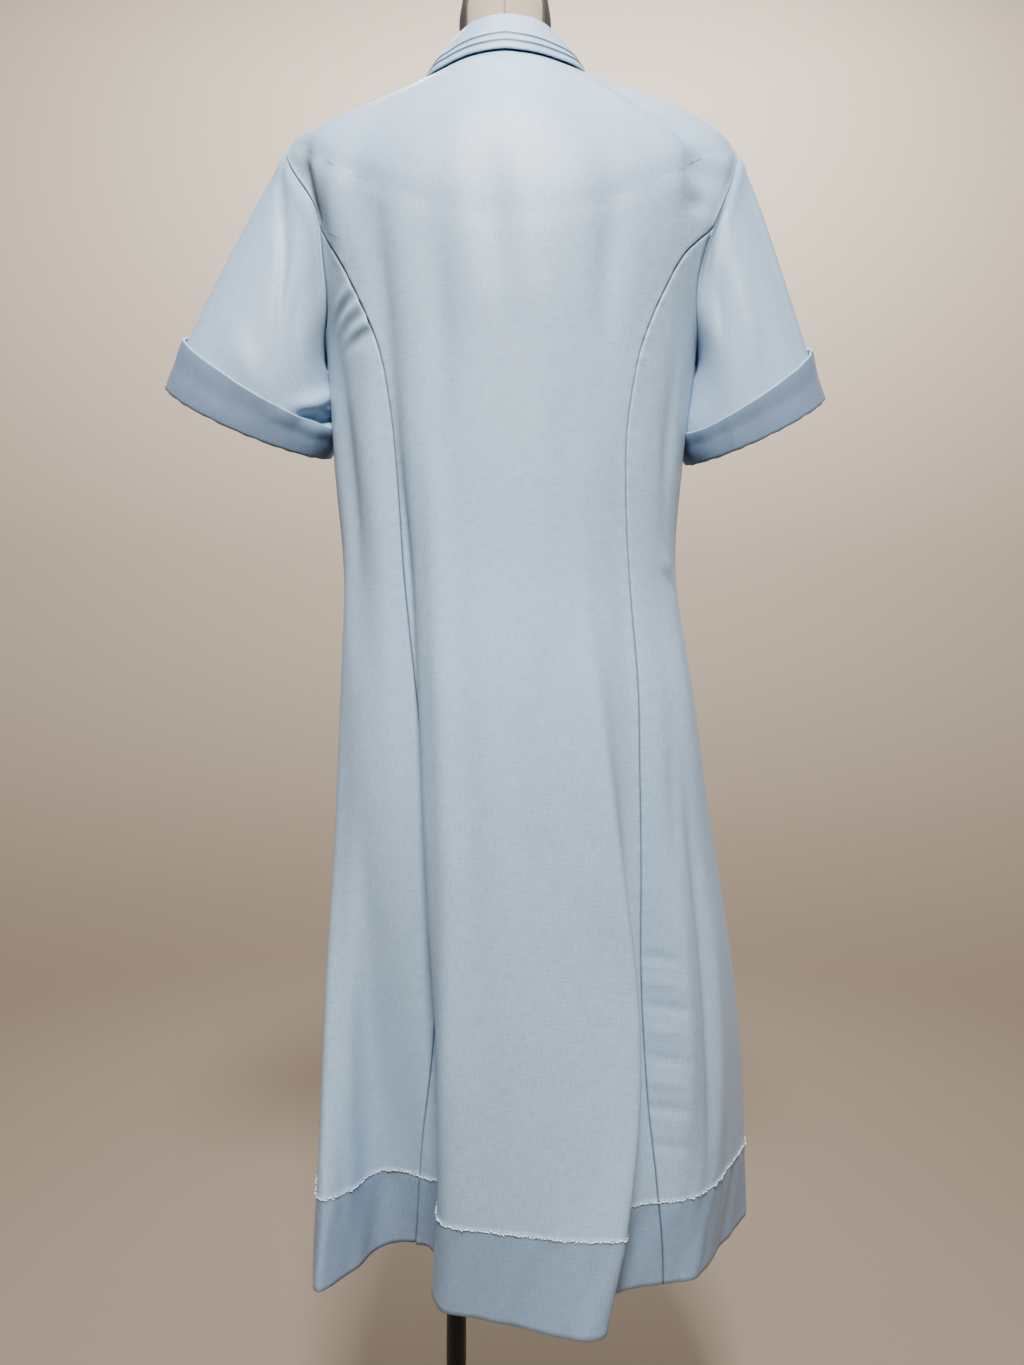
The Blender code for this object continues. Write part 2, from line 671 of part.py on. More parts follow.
def collar_profile(angle):
    """The middle of the collar's cloth at one angle: up the stand, over, and down."""
    away = abs(angle)
    side = 1.0 if angle >= 0.0 else -1.0
    foot = neck_point(angle)
    radial = Vector((foot.x - NECK_CENTRE_X, foot.y - NECK_CENTRE_Y, 0.0)).normalized()
    stand = along(COLLAR, away, "stand", "angle")
    lean = along(COLLAR, away, "lean", "angle")
    reach = along(COLLAR, away, "fall", "angle")
    edge_angle = side * (away + along(COLLAR, away, "spread", "angle"))
    edge_level = SHOULDER_HEIGHT + 1.0 - reach
    foot_room = COLLAR_FOOT_ROOM + COLLAR_LAP_ROOM * ease((away - 135.0) / 30.0)
    foot = foot - radial * WALL / 2.0 + Vector((0.0, 0.0, foot_room))
    roll = foot - radial * lean + Vector((0.0, 0.0, stand))
    over = roll + radial * ROLL_WIDTH - Vector((0.0, 0.0, ROLL_DROP))
    edge = cloth_point(edge_level, edge_angle)
    edge = edge + outward_normal(cloth_point, edge_level, edge_angle) * COLLAR_ROOM
    top = (roll + over) / 2.0 + Vector((0.0, 0.0, ROLL_CROWN))
    fall = []
    for share in (0.3, 0.65):
        level = SHOULDER_HEIGHT + 1.0 - reach * share
        turn = angle + (edge_angle - angle) * share
        facing = outward_normal(cloth_point, level, turn)
        rest = cloth_point(level, turn) + facing * COLLAR_ROOM
        straight = over.lerp(edge, share) + facing * COLLAR_CROWN
        fall.append(straight + facing * max(0.0, (rest - straight).dot(facing)))
    return [foot, (foot + roll) / 2.0, roll, top, over] + fall + [edge]


def make_collar(columns=32):
    angles = spread(-COLLAR_END_ANGLE, COLLAR_END_ANGLE, columns)
    lines = [collar_profile(angle) for angle in angles]
    steps = len(lines[0])
    grid = [[line[step] for line in lines] for step in range(steps)]
    normals = []
    for step in range(steps):
        row = []
        for index in range(len(angles)):
            low, high = grid[max(0, step - 1)][index], grid[min(steps - 1, step + 1)][index]
            before = grid[step][max(0, index - 1)]
            after = grid[step][min(len(angles) - 1, index + 1)]
            row.append((after - before).cross(high - low).normalized())
        normals.append(row)
    one = moved(grid, normals, COLLAR_WALL / 2.0)
    other = moved(grid, normals, -COLLAR_WALL / 2.0)
    wall_solid("collar", one, other, CLOTH_BLUE)


def disc(name, centre, axis, radius, thickness, bevel, sides, color, roughness, metallic=0.0):
    """A round plate with bevelled rims, from its centre on one face along its axis."""
    axis = axis.normalized()
    across = axis.orthogonal().normalized()
    beside = axis.cross(across)
    rings = [(0.0, radius - bevel), (bevel, radius), (thickness - bevel, radius), (thickness, radius - bevel)]
    points, faces = [], []
    for height, reach in rings:
        for step in range(sides):
            turn = 2.0 * math.pi * step / sides
            points.append(centre + axis * height + (across * math.cos(turn) + beside * math.sin(turn)) * reach)
    for ring in range(len(rings) - 1):
        for step in range(sides):
            a, b = ring * sides + step, ring * sides + (step + 1) % sides
            faces.append((a, b, b + sides, a + sides))
    faces.append(tuple(range(sides)))
    faces.append(tuple(range((len(rings) - 1) * sides, len(rings) * sides)))
    return add_object(name, points, faces, color, roughness, metallic)


def make_buttons():
    for number in range(BUTTON_COUNT):
        wanted = BUTTON_TOP + (BUTTON_BOTTOM - BUTTON_TOP) * number / (BUTTON_COUNT - 1)
        level = min(centre_levels(), key=lambda row: abs(row - wanted))
        facing = outward_normal(cloth_point, level, 180.0)
        seat = cloth_point(level, 180.0) + facing * BUTTON_SEAT
        disc("button_%d" % (number + 1), seat, facing, BUTTON_RADIUS, BUTTON_THICKNESS, 0.0006, 12,
             BUTTON_BLUE, 0.35)


FORM_SIDES = 26
FORM_YOKE_SHARES = [0.25, 0.5, 0.75, 0.93]
COLLAR_DEPTH = 0.014
NeckRing = namedtuple("NeckRing", "height half_width back front")
FORM_NECK = [
    NeckRing(1.456, 0.0420, 0.0440, 0.040),
    NeckRing(1.475, 0.0395, 0.0420, 0.038),
    NeckRing(1.500, 0.037, 0.040, 0.038),
    NeckRing(1.520, 0.036, 0.039, 0.038),
]


def form_point(level, angle):
    """The dress form: the plain shape of the dress, drawn in by the room it leaves."""
    room = along(FORM_ROOM, level, "room")
    point = plain_point(level, angle) - outward_normal(plain_point, level, angle) * room
    if level <= FORM_BOTTOM:
        point.z = FORM_BOTTOM
    return point


def make_form():
    levels = spread(FORM_BOTTOM, CHEST_HEIGHT, 6) + spread(CHEST_HEIGHT, SHOULDER_HEIGHT, 4)[1:]
    levels += [SHOULDER_HEIGHT + share for share in FORM_YOKE_SHARES]
    angles = [360.0 * step / FORM_SIDES for step in range(FORM_SIDES)]
    points = [form_point(level, angle) for level in levels for angle in angles]
    for angle in angles:
        foot = neck_point(angle)
        inward = Vector((NECK_CENTRE_X - foot.x, NECK_CENTRE_Y - foot.y, 0.0)).normalized()
        points.append(foot + inward * COLLAR_DEPTH)
    for ring in FORM_NECK:
        for angle in angles:
            turn = math.radians(angle)
            deep = ring.back if math.cos(turn) >= 0.0 else ring.front
            points.append(Vector((
                NECK_CENTRE_X + ring.half_width * math.sin(turn),
                NECK_CENTRE_Y + deep * math.cos(turn),
                ring.height,
            )))
    rings = len(levels) + 1 + len(FORM_NECK)
    faces = []
    for ring in range(rings - 1):
        for step in range(FORM_SIDES):
            a, b = ring * FORM_SIDES + step, ring * FORM_SIDES + (step + 1) % FORM_SIDES
            faces.append((a, b, b + FORM_SIDES, a + FORM_SIDES))
    faces.append(tuple(range(FORM_SIDES)))
    faces.append(tuple(range((rings - 1) * FORM_SIDES, rings * FORM_SIDES)))
    add_object("form_torso", points, faces, FORM_BEIGE, 0.85)


def make_stand():
    """Neck cap, socket under the form, pole and round base."""
    up = Vector((0.0, 0.0, 1.0))
    disc("form_neck_cap", Vector((NECK_CENTRE_X, NECK_CENTRE_Y, NECK_TOP + GAP)), up, CAP_RADIUS,
         CAP_THICKNESS, 0.003, 24, STAND_BLACK, 0.4)
    disc("form_socket", Vector((POLE_X, POLE_Y, FORM_BOTTOM - GAP - SOCKET_HEIGHT)), up, SOCKET_RADIUS,
         SOCKET_HEIGHT, 0.002, 20, STAND_BLACK, 0.4, 0.6)
    pole_top = FORM_BOTTOM - 2.0 * GAP - SOCKET_HEIGHT
    pole_foot = BASE_THICKNESS + GAP
    disc("pole", Vector((POLE_X, POLE_Y, pole_foot)), up, POLE_RADIUS, pole_top - pole_foot, 0.0008, 20,
         STAND_BLACK, 0.35, 0.6)
    disc("base", Vector((POLE_X, POLE_Y, 0.0)), up, BASE_RADIUS, BASE_THICKNESS, 0.004, 40, STAND_BLACK, 0.45, 0.6)


def clear_scene():
    for item in list(bpy.data.objects):
        bpy.data.objects.remove(item, do_unlink=True)


def build():
    clear_scene()
    make_form()
    make_stand()
    make_back()
    make_front("front_left", 1, over=False)
    make_front("front_right", -1, over=True)
    make_side("side_back_left", 1, "back_left", SIDE_BACK_COLUMNS)
    make_side("side_back_right", -1, "back_right", SIDE_BACK_COLUMNS)
    make_side("side_front_left", 1, "front", SIDE_FRONT_COLUMNS)
    make_side("side_front_right", -1, "front", SIDE_FRONT_COLUMNS)
    for cut in SLEEVES:
        make_sleeve(cut)
    make_collar()
    make_buttons()


build()
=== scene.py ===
import math
from collections import namedtuple

import bmesh
import bpy
import numpy as np
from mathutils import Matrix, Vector


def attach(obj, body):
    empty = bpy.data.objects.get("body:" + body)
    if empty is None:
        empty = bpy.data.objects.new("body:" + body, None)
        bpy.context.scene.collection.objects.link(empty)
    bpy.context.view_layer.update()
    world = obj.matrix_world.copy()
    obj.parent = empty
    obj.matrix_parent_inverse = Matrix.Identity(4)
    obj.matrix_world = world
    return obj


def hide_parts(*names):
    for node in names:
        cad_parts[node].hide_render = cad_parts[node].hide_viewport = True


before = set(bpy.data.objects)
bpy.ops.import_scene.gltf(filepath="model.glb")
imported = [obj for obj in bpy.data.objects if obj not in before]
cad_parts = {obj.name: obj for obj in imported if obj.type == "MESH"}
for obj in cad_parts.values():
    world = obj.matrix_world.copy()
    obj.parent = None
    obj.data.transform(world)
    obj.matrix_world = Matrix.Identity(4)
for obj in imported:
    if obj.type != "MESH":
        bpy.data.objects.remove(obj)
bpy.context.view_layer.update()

# The dress's outline: it hangs from the shoulders of a dress form. A level is a height up
# to the chest; above it, levels bend up to the shoulders and one more unit is the yoke.
# Angles go round the body: 0 is the centre back, 90 the wearer's left, 180 the centre front.
WALL = 0.0012
HEM_WALL = 0.0024
GAP = 0.0003
HEM_HEIGHT = 0.342
HEM_ALLOWANCE = 0.076
HEM_LINE = HEM_HEIGHT + HEM_ALLOWANCE
CHEST_HEIGHT = 1.150
CHEST_RING_BACK = 1.255
CHEST_RING_FRONT = 1.225
UNDERARM_HEIGHT = 1.180
JUNCTION_HEIGHT = 1.293
SHOULDER_HEIGHT = 1.371
ARMHOLE_BACK = 28.0
ARMHOLE_FRONT = 30.0
NECK_SIDE_HEIGHT = 1.436
NECK_HALF_WIDTH = 0.058
NECK_BACK = 0.060
NECK_FRONT = 0.056
NECK_CENTRE = np.array([0.007, 0.006, 0.0])
NECK_DIP_BACK = 0.004
NECK_DIP_FRONT = 0.072
NECK_LEFT_DROP = 0.007
YOKE_RISE = 1.15
YOKE_REACH = 0.85
YOKE_SLOPE = 0.5
LEFT_SHOULDER_SAG = 0.009
FULL_TURN = 360.0
FOLD_GROWTH = 1.5
METRES_PER_DEGREE = 0.0028
CLOTH_WAVER = 0.0004
TURN_BELOW = 0.022
TURN_ABOVE = 0.150
YOKE_TILT = 62.0
YOKE_TILT_SHARE = 0.45

Section = namedtuple("Section", "height half_width back front shift_x side_y turn")
BODY = [
    Section(0.350, 0.204, 0.140, 0.155, -0.034, -0.016, 8.0),
    Section(0.480, 0.199, 0.136, 0.150, -0.029, -0.012, 6.0),
    Section(0.600, 0.190, 0.132, 0.145, -0.023, -0.008, 4.0),
    Section(0.720, 0.178, 0.128, 0.140, -0.017, -0.004, 2.0),
    Section(0.860, 0.166, 0.122, 0.128, -0.009, 0.000, 0.0),
    Section(0.980, 0.156, 0.117, 0.118, 0.000, 0.000, 0.0),
    Section(1.080, 0.163, 0.121, 0.127, 0.002, 0.000, 0.0),
    Section(1.160, 0.170, 0.127, 0.133, 0.000, 0.000, 0.0),
    Section(1.210, 0.177, 0.130, 0.130, 0.000, 0.002, 0.0),
    Section(1.270, 0.194, 0.129, 0.119, 0.000, 0.006, 0.0),
    Section(1.320, 0.206, 0.124, 0.104, 0.000, 0.009, 0.0),
    Section(1.375, 0.209, 0.112, 0.088, 0.000, 0.012, 0.0),
]

# The hem seen from above: a row for each ridge, hollow or turn of the hanging cloth, and
# the height at which that fold starts.
HemTurn = namedtuple("HemTurn", "angle x y start")
HEM_OUTLINE = [
    HemTurn(-165, -0.075, -0.178, 0.80),
    HemTurn(-148, -0.135, -0.163, 0.80),
    HemTurn(-130, -0.200, -0.142, 0.80),
    HemTurn(-110, -0.240, -0.105, 0.80),
    HemTurn(-92, -0.242, -0.052, 0.80),
    HemTurn(-80, -0.222, -0.016, 0.78),
    HemTurn(-70, -0.200, 0.018, 0.76),
    HemTurn(-61, -0.184, 0.047, 0.74),
    HemTurn(-55, -0.172, 0.063, 0.74),
    HemTurn(-46, -0.140, 0.072, 0.74),
    HemTurn(-38, -0.112, 0.085, 0.72),
    HemTurn(-30, -0.091, 0.112, 0.68),
    HemTurn(-23, -0.082, 0.138, 0.66),
    HemTurn(-16, -0.064, 0.148, 0.66),
    HemTurn(-8, -0.040, 0.143, 0.70),
    HemTurn(2, -0.008, 0.131, 0.74),
    HemTurn(12, 0.024, 0.121, 0.76),
    HemTurn(21, 0.053, 0.112, 0.76),
    HemTurn(28, 0.067, 0.088, 0.76),
    HemTurn(38, 0.074, 0.050, 0.76),
    HemTurn(50, 0.088, 0.013, 0.78),
    HemTurn(59, 0.114, 0.022, 0.78),
    HemTurn(69, 0.140, 0.055, 0.76),
    HemTurn(79, 0.165, 0.085, 0.74),
    HemTurn(87, 0.176, 0.058, 0.76),
    HemTurn(98, 0.178, 0.010, 0.80),
    HemTurn(115, 0.176, -0.055, 0.80),
    HemTurn(135, 0.152, -0.118, 0.80),
    HemTurn(152, 0.090, -0.158, 0.80),
    HemTurn(167, 0.035, -0.174, 0.80),
    HemTurn(181, -0.015, -0.176, 0.80),
]

# Upright soft folds: how far each stands out (+) or sinks in (-)
SoftFold = namedtuple("SoftFold", "angle spread depth top deepest bottom")
SOFT_FOLDS = [
    SoftFold(56, 7, 0.003, 1.38, 1.31, 1.20),
    SoftFold(44, 6, -0.004, 1.41, 1.33, 1.22),
    SoftFold(-52, 7, -0.005, 1.41, 1.34, 1.26),
    SoftFold(-64, 6, 0.003, 1.38, 1.33, 1.24),
    SoftFold(24, 9, -0.005, 1.02, 0.80, 0.50),
    SoftFold(10, 9, 0.004, 0.98, 0.72, 0.45),
    SoftFold(-12, 9, 0.004, 0.90, 0.66, 0.40),
    SoftFold(-62, 9, 0.005, 0.98, 0.88, 0.70),
    SoftFold(66, 8, 0.004, 1.08, 0.92, 0.75),
]

# Creases run straight from a to b on the cloth: ridges (+) and troughs (-) that fade past
# their ends
Crease = namedtuple("Crease", "angle_a height_a angle_b height_b width depth")
CREASES = [
    Crease(-41, 1.392, -54, 1.352, 0.0130, -0.0095),
    Crease(-52, 1.330, -62, 1.312, 0.0130, -0.0065),
    Crease(-40, 1.346, -45, 1.290, 0.0120, 0.0040),
    Crease(-50, 1.290, -60, 1.298, 0.0090, -0.0030),
    Crease(65, 1.346, 60, 1.265, 0.0165, -0.0125),
    Crease(44, 1.345, 50, 1.270, 0.0120, 0.0080),
    Crease(34, 1.310, 41, 1.180, 0.0120, -0.0030),
    Crease(20, 1.275, 22, 1.090, 0.0150, -0.0062),
    Crease(5, 1.330, 4, 1.200, 0.0130, -0.0045),
    Crease(-25, 1.300, -29, 1.170, 0.0130, -0.0062),
    Crease(-8, 1.240, -10, 0.980, 0.0200, 0.0030),
    Crease(23, 1.030, 24, 0.480, 0.0140, 0.0095),
    Crease(40, 1.080, 41, 0.440, 0.0165, -0.0290),
    Crease(49, 0.900, 48, 0.330, 0.0240, -0.0170),
    Crease(37, 0.640, 35, 0.330, 0.0190, -0.0200),
    Crease(38, 0.720, 34, 0.670, 0.0035, 0.0020),
    Crease(25, 0.610, 27, 0.430, 0.0100, 0.0050),
    Crease(-3, 0.800, -2, 0.500, 0.0200, -0.0040),
    Crease(-23, 0.820, -22, 0.340, 0.0115, 0.0135),
    Crease(-38, 0.860, -39, 0.340, 0.0150, -0.0140),
    Crease(-31, 0.760, -31, 0.330, 0.0150, -0.0250),
    Crease(150, 1.230, 160, 1.050, 0.014, -0.0026),
    Crease(-148, 1.240, -158, 1.060, 0.016, -0.0024),
    Crease(128, 1.290, 140, 1.220, 0.010, -0.0050),
    Crease(-127, 1.290, -139, 1.215, 0.010, -0.0055),
    Crease(146, 1.000, 152, 0.720, 0.014, -0.0070),
    Crease(-140, 0.960, -150, 0.640, 0.015, -0.0075),
    Crease(-167, 0.860, -163, 0.520, 0.016, 0.0060),
    Crease(164, 0.830, 166, 0.480, 0.016, 0.0055),
    Crease(100, 1.010, 112, 0.985, 0.006, -0.0030),
    Crease(-104, 1.000, -117, 0.978, 0.006, -0.0032),
]

# Princess seams: the angle of each seam at each height, from the hem up to the armhole
SeamAngle = namedtuple("SeamAngle", "height back_left back_right front")
PRINCESS = [
    SeamAngle(0.342, 52.0, 46.5, 130.0),
    SeamAngle(0.435, 49.0, 41.5, 131.0),
    SeamAngle(0.530, 44.5, 37.5, 132.0),
    SeamAngle(0.640, 41.0, 36.0, 134.0),
    SeamAngle(0.780, 41.0, 38.5, 136.0),
    SeamAngle(0.970, 43.0, 42.0, 138.0),
    SeamAngle(1.090, 41.0, 38.5, 138.0),
    SeamAngle(1.160, 43.0, 40.0, 137.0),
    SeamAngle(1.200, 45.5, 43.0, 134.0),
    SeamAngle(1.243, 50.0, 48.0, 129.0),
    SeamAngle(1.276, 54.5, 53.0, 124.0),
    SeamAngle(1.293, 62.0, 62.0, 119.0),
]


def unit(vectors):
    return vectors / np.linalg.norm(vectors, axis=-1, keepdims=True)


def ease(share):
    share = np.clip(share, 0.0, 1.0)
    return share * share * (3.0 - 2.0 * share)


def hermite(t, start, leave, end, arrive):
    """A smooth run from start to end with the given pulls at its ends."""
    return (
        start * (2 * t**3 - 3 * t**2 + 1)
        + leave * (t**3 - 2 * t**2 + t)
        + end * (3 * t**2 - 2 * t**3)
        + arrive * (t**3 - t**2)
    )


def along(rows, key, column, at, period=None):
    """One column of a table, read at any keys by a smooth curve through its rows."""
    keys = np.array([getattr(row, key) for row in rows], dtype=float)
    values = np.array([getattr(row, column) for row in rows], dtype=float)
    if period is not None:
        at = keys[0] + (at - keys[0]) % period
        keys = np.concatenate([keys[-2:] - period, keys, keys[:2] + period])
        values = np.concatenate([values[-2:], values, values[:2]])
    at = np.clip(at, keys[0], keys[-1])
    low = np.maximum(np.arange(len(keys)) - 1, 0)
    high = np.minimum(np.arange(len(keys)) + 1, len(keys) - 1)
    slopes = (values[high] - values[low]) / (keys[high] - keys[low])
    span = np.clip(np.searchsorted(keys, at) - 1, 0, len(keys) - 2)
    width = keys[span + 1] - keys[span]
    share = (at - keys[span]) / width
    return hermite(share, values[span], slopes[span] * width, values[span + 1], slopes[span + 1] * width)


def body_point(height, angle):
    """The plain bodice or skirt: an oval section at each height."""
    turn = np.radians(angle)
    across = along(BODY, "height", "half_width", height) * np.sin(turn)
    back = along(BODY, "height", "back", height)
    front = along(BODY, "height", "front", height)
    deep = np.where(np.cos(turn) >= 0.0, back, front) * np.cos(turn)
    skew = np.radians(along(BODY, "height", "turn", height))
    x = across * np.cos(skew) - deep * np.sin(skew) + along(BODY, "height", "shift_x", height)
    y = across * np.sin(skew) + deep * np.cos(skew) + along(BODY, "height", "side_y", height)
    return np.stack([x, y, height + 0.0 * angle], axis=-1)


def chest_ring(angle):
    """The ring round the chest that rises at the sides to the shoulder points."""
    rise = np.sin(np.radians(angle)) ** 2
    low = np.where(np.cos(np.radians(angle)) >= 0.0, CHEST_RING_BACK, CHEST_RING_FRONT)
    return low + (SHOULDER_HEIGHT - low) * rise


def neck_point(angle):
    """The neckline."""
    turn = np.radians(angle)
    facing = np.cos(turn)
    deep = np.where(facing >= 0.0, NECK_BACK, NECK_FRONT)
    dip = np.where(facing >= 0.0, NECK_DIP_BACK * facing**2, NECK_DIP_FRONT * np.abs(facing) ** 1.6)
    x = NECK_CENTRE[0] + NECK_HALF_WIDTH * np.sin(turn)
    y = NECK_CENTRE[1] + deep * facing
    left = NECK_LEFT_DROP * np.maximum(0.0, np.sin(turn)) ** 1.5
    return np.stack([x, y, NECK_SIDE_HEIGHT - dip - left], axis=-1)


def yoke_point(share, angle):
    """The cloth between the chest ring (share 0) and the neckline (share 1)."""
    ring = chest_ring(angle)
    low = body_point(ring, angle)
    high = neck_point(angle)
    across = high - low
    length = np.linalg.norm(across, axis=-1, keepdims=True)
    side = (np.sin(np.radians(angle)) ** 8)[..., None]
    upward = unit(low - body_point(ring - 0.02, angle))
    leave = upward * length * YOKE_RISE * (1.0 - side) + across * side
    inward = unit(across * np.array([1.0, 1.0, 0.0]))
    arrive = (inward * YOKE_REACH + np.array([0.0, 0.0, YOKE_SLOPE])) * length * (1.0 - side) + across * side
    t = share[..., None]
    left = np.maximum(0.0, np.sin(np.radians(angle))) ** 3
    sag = LEFT_SHOULDER_SAG * left * 16.0 * share**2 * (1.0 - share) ** 2
    point = hermite(t, low, leave, high, arrive)
    point[..., 2] -= sag
    return point


def cornered_point(level, angle):
    """Body up to the chest ring, yoke above it, with a sharp turn where they meet."""
    share = (level - CHEST_HEIGHT) / (SHOULDER_HEIGHT - CHEST_HEIGHT)
    bent = CHEST_HEIGHT + (chest_ring(angle) - CHEST_HEIGHT) * np.clip(share, 0.0, 1.0)
    height = np.where(level <= CHEST_HEIGHT, level, bent)
    yoke = yoke_point(np.clip(level - SHOULDER_HEIGHT, 0.0, 1.0), angle)
    return np.where((level > SHOULDER_HEIGHT)[..., None], yoke, body_point(height, angle))


def plain_point(level, angle):
    """The dress before it folds: body, then yoke, with the turn between them rounded off."""
    level, angle = np.broadcast_arrays(np.asarray(level, float), np.asarray(angle, float))
    point = cornered_point(level, angle)
    near = (level > SHOULDER_HEIGHT - TURN_BELOW) & (level < SHOULDER_HEIGHT + TURN_ABOVE)
    if near.any():
        past, turn = level[near] - SHOULDER_HEIGHT, angle[near]
        share = np.where(past < 0.0, past / TURN_BELOW, past / TURN_ABOVE)[..., None]
        t, strength = 0.5 + 0.5 * share, (1.0 - share**2) ** 2
        low = cornered_point(np.full(turn.shape, SHOULDER_HEIGHT - TURN_BELOW), turn)
        middle = cornered_point(np.full(turn.shape, SHOULDER_HEIGHT), turn)
        high = cornered_point(np.full(turn.shape, SHOULDER_HEIGHT + TURN_ABOVE), turn)
        rounded = (1.0 - t) ** 2 * low + 2.0 * t * (1.0 - t) * middle + t**2 * high
        point[near] += strength * (rounded - point[near])
    return point


def crease_shape(x, y, run_x, run_y, width):
    """A long soft hump: 1 at the middle of its run, less beside it and past its ends."""
    half = math.hypot(run_x, run_y) / 2.0
    along_run = ((x - run_x / 2.0) * run_x + (y - run_y / 2.0) * run_y) / (2.0 * half)
    beside = (x * run_y - y * run_x) / (2.0 * half)
    return np.exp(-((along_run / half) ** 2) * 0.9 - (beside / width) ** 2)


def crease_lift(rows, angle, height):
    """How far a table of creases moves the cloth in or out at each place."""
    lift = np.zeros(np.shape(angle))
    for row in rows:
        across = ((angle - row.angle_a + 180.0) % FULL_TURN - 180.0) * METRES_PER_DEGREE
        up = height - row.height_a
        run_across = (row.angle_b - row.angle_a) * METRES_PER_DEGREE
        run_up = row.height_b - row.height_a
        lift += row.depth * crease_shape(across, up, run_across, run_up, row.width)
    return lift


def uneven(place, length, start):
    """A smooth uneven wave between about -1 and 1, with about this wavelength."""
    turn = 2.0 * math.pi / length
    return (
        np.sin(place * turn + start)
        + 0.6 * np.sin(place * turn * 1.618 + 2.1 * start)
        + 0.4 * np.sin(place * turn * 0.53 + 3.7 * start)
    ) / 2.0


def crease_way(level, point):
    """The way folds and creases move the cloth: level on the body, turning up on the yoke."""
    outward = unit((point - NECK_CENTRE * np.array([1.0, 0.0, 0.0])) * np.array([1.0, 1.0, 0.0]))
    rise = math.radians(YOKE_TILT) * ease((level - SHOULDER_HEIGHT + 0.05) / YOKE_TILT_SHARE)[..., None]
    return outward * np.cos(rise) + np.array([0.0, 0.0, 1.0]) * np.sin(rise)


def cloth_point(level, angle):
    """The outer face of the dress, with its folds and creases."""
    level, angle = np.broadcast_arrays(np.asarray(level, float), np.asarray(angle, float))
    point = plain_point(level, angle)
    start = along(HEM_OUTLINE, "angle", "start", angle, FULL_TURN)
    hang_x = along(HEM_OUTLINE, "angle", "x", angle, FULL_TURN)
    hang_y = along(HEM_OUTLINE, "angle", "y", angle, FULL_TURN)
    share = np.maximum(0.0, (start - level) / (start - HEM_HEIGHT)) ** FOLD_GROWTH
    point = point + (np.stack([hang_x, hang_y, point[..., 2]], axis=-1) - point) * share[..., None]
    height = point[..., 2]
    outward = crease_way(level, point)
    lift = crease_lift(CREASES, angle, height)
    for fold in SOFT_FOLDS:
        apart = (angle - fold.angle + 180.0) % FULL_TURN - 180.0
        above = ease((fold.top - height) / (fold.top - fold.deepest))
        below = ease((height - fold.bottom) / (fold.deepest - fold.bottom))
        fade = np.where(height >= fold.deepest, above, below)
        lift = lift + fold.depth * fade * np.exp(-((apart / fold.spread) ** 2))
    lift = lift + CLOTH_WAVER * uneven(angle * METRES_PER_DEGREE, 0.055, 1.3) * uneven(height, 0.140, 0.4)
    return point + outward * lift[..., None]


def cloth_normal(point_at, level, angle):
    """The direction square to the cloth."""
    step = 0.004
    upper = np.minimum(level + step, SHOULDER_HEIGHT + 1.0)
    rise = point_at(upper, angle) - point_at(upper - 2.0 * step, angle)
    round_body = point_at(level, angle + 0.5) - point_at(level, angle - 0.5)
    return unit(np.cross(rise, round_body))


ARMHOLE_MIDDLE = (SHOULDER_HEIGHT + UNDERARM_HEIGHT) / 2.0
ARMHOLE_HALF = (SHOULDER_HEIGHT - UNDERARM_HEIGHT) / 2.0


def armhole_angle(level, reach):
    off_middle = np.minimum(1.0, np.abs(level - ARMHOLE_MIDDLE) / ARMHOLE_HALF)
    return reach * np.sqrt(1.0 - off_middle**2)


def outer_edge(level, side, column, reach):
    """Angle of a centre piece's outer edge: princess seam, armhole, then shoulder."""
    seam = along(PRINCESS, "height", column, level)
    away = armhole_angle(level, reach)
    armhole = 90.0 + away if column == "front" else 90.0 - away
    edge = np.where(level < JUNCTION_HEIGHT, seam, armhole)
    return side * np.where(level <= SHOULDER_HEIGHT, edge, 90.0)


# Woven cloth: a pale blue plain weave of fine, slightly slubby yarn with a soft sheen. The
# group reads the piece's flat cutting map in metres, so the threads follow each panel.
# The doubled hem and cuffs are painted deeper in colour: painted shade for the light that comes through one
# layer of cloth but not through two.
THREAD_PITCH = 0.00046
CLOTH_PALE = (0.380, 0.525, 0.690)
CLOTH_DEEP = (0.215, 0.345, 0.510)
# SEAM_SHADE is painted shade: the colour of the dark lines in seam grooves, under the collar tucks and along
# the sleeves' armhole seams.
SEAM_SHADE = (0.060, 0.105, 0.165)
DOUBLED_SHADE = (0.47, 0.49, 0.55)
HEM_PAINTED_SHADE = 0.72


def link(tree, start, end):
    tree.links.new(start, end)


def new_node(tree, kind, **values):
    """A node with its plain settings, and with its inputs by name or number."""
    node = tree.nodes.new(kind)
    for word, value in values.pop("settings", {}).items():
        setattr(node, word, value)
    for word, value in values.pop("inputs", {}).items():
        if isinstance(value, bpy.types.NodeSocket):
            link(tree, value, node.inputs[word])
        else:
            node.inputs[word].default_value = value
    return node


def maths(tree, operation, first, second=0.0, third=0.0):
    node = new_node(tree, "ShaderNodeMath", settings={"operation": operation}, inputs={0: first, 1: second})
    if operation == "MULTIPLY_ADD":
        if isinstance(third, bpy.types.NodeSocket):
            link(tree, third, node.inputs[2])
        else:
            node.inputs[2].default_value = third
    return node.outputs[0]


def mixed(tree, share, first, second, blend="MIX"):
    node = new_node(tree, "ShaderNodeMix", settings={"data_type": "RGBA", "blend_type": blend})
    for socket, value in ((node.inputs[0], share), (node.inputs[6], first), (node.inputs[7], second)):
        if isinstance(value, bpy.types.NodeSocket):
            link(tree, value, socket)
        elif socket.type == "RGBA":
            socket.default_value = (*value, 1.0) if len(value) == 3 else value
        else:
            socket.default_value = value
    return node.outputs[2]


def noise(tree, place, scale, detail=2.0, roughness=0.5):
    node = new_node(tree, "ShaderNodeTexNoise", inputs={
        "Vector": place, "Scale": scale, "Detail": detail, "Roughness": roughness,
    })
    return node.outputs["Fac"]


def stretched(tree, place, scale):
    node = new_node(tree, "ShaderNodeMapping", inputs={"Vector": place, "Scale": scale})
    return node.outputs["Vector"]


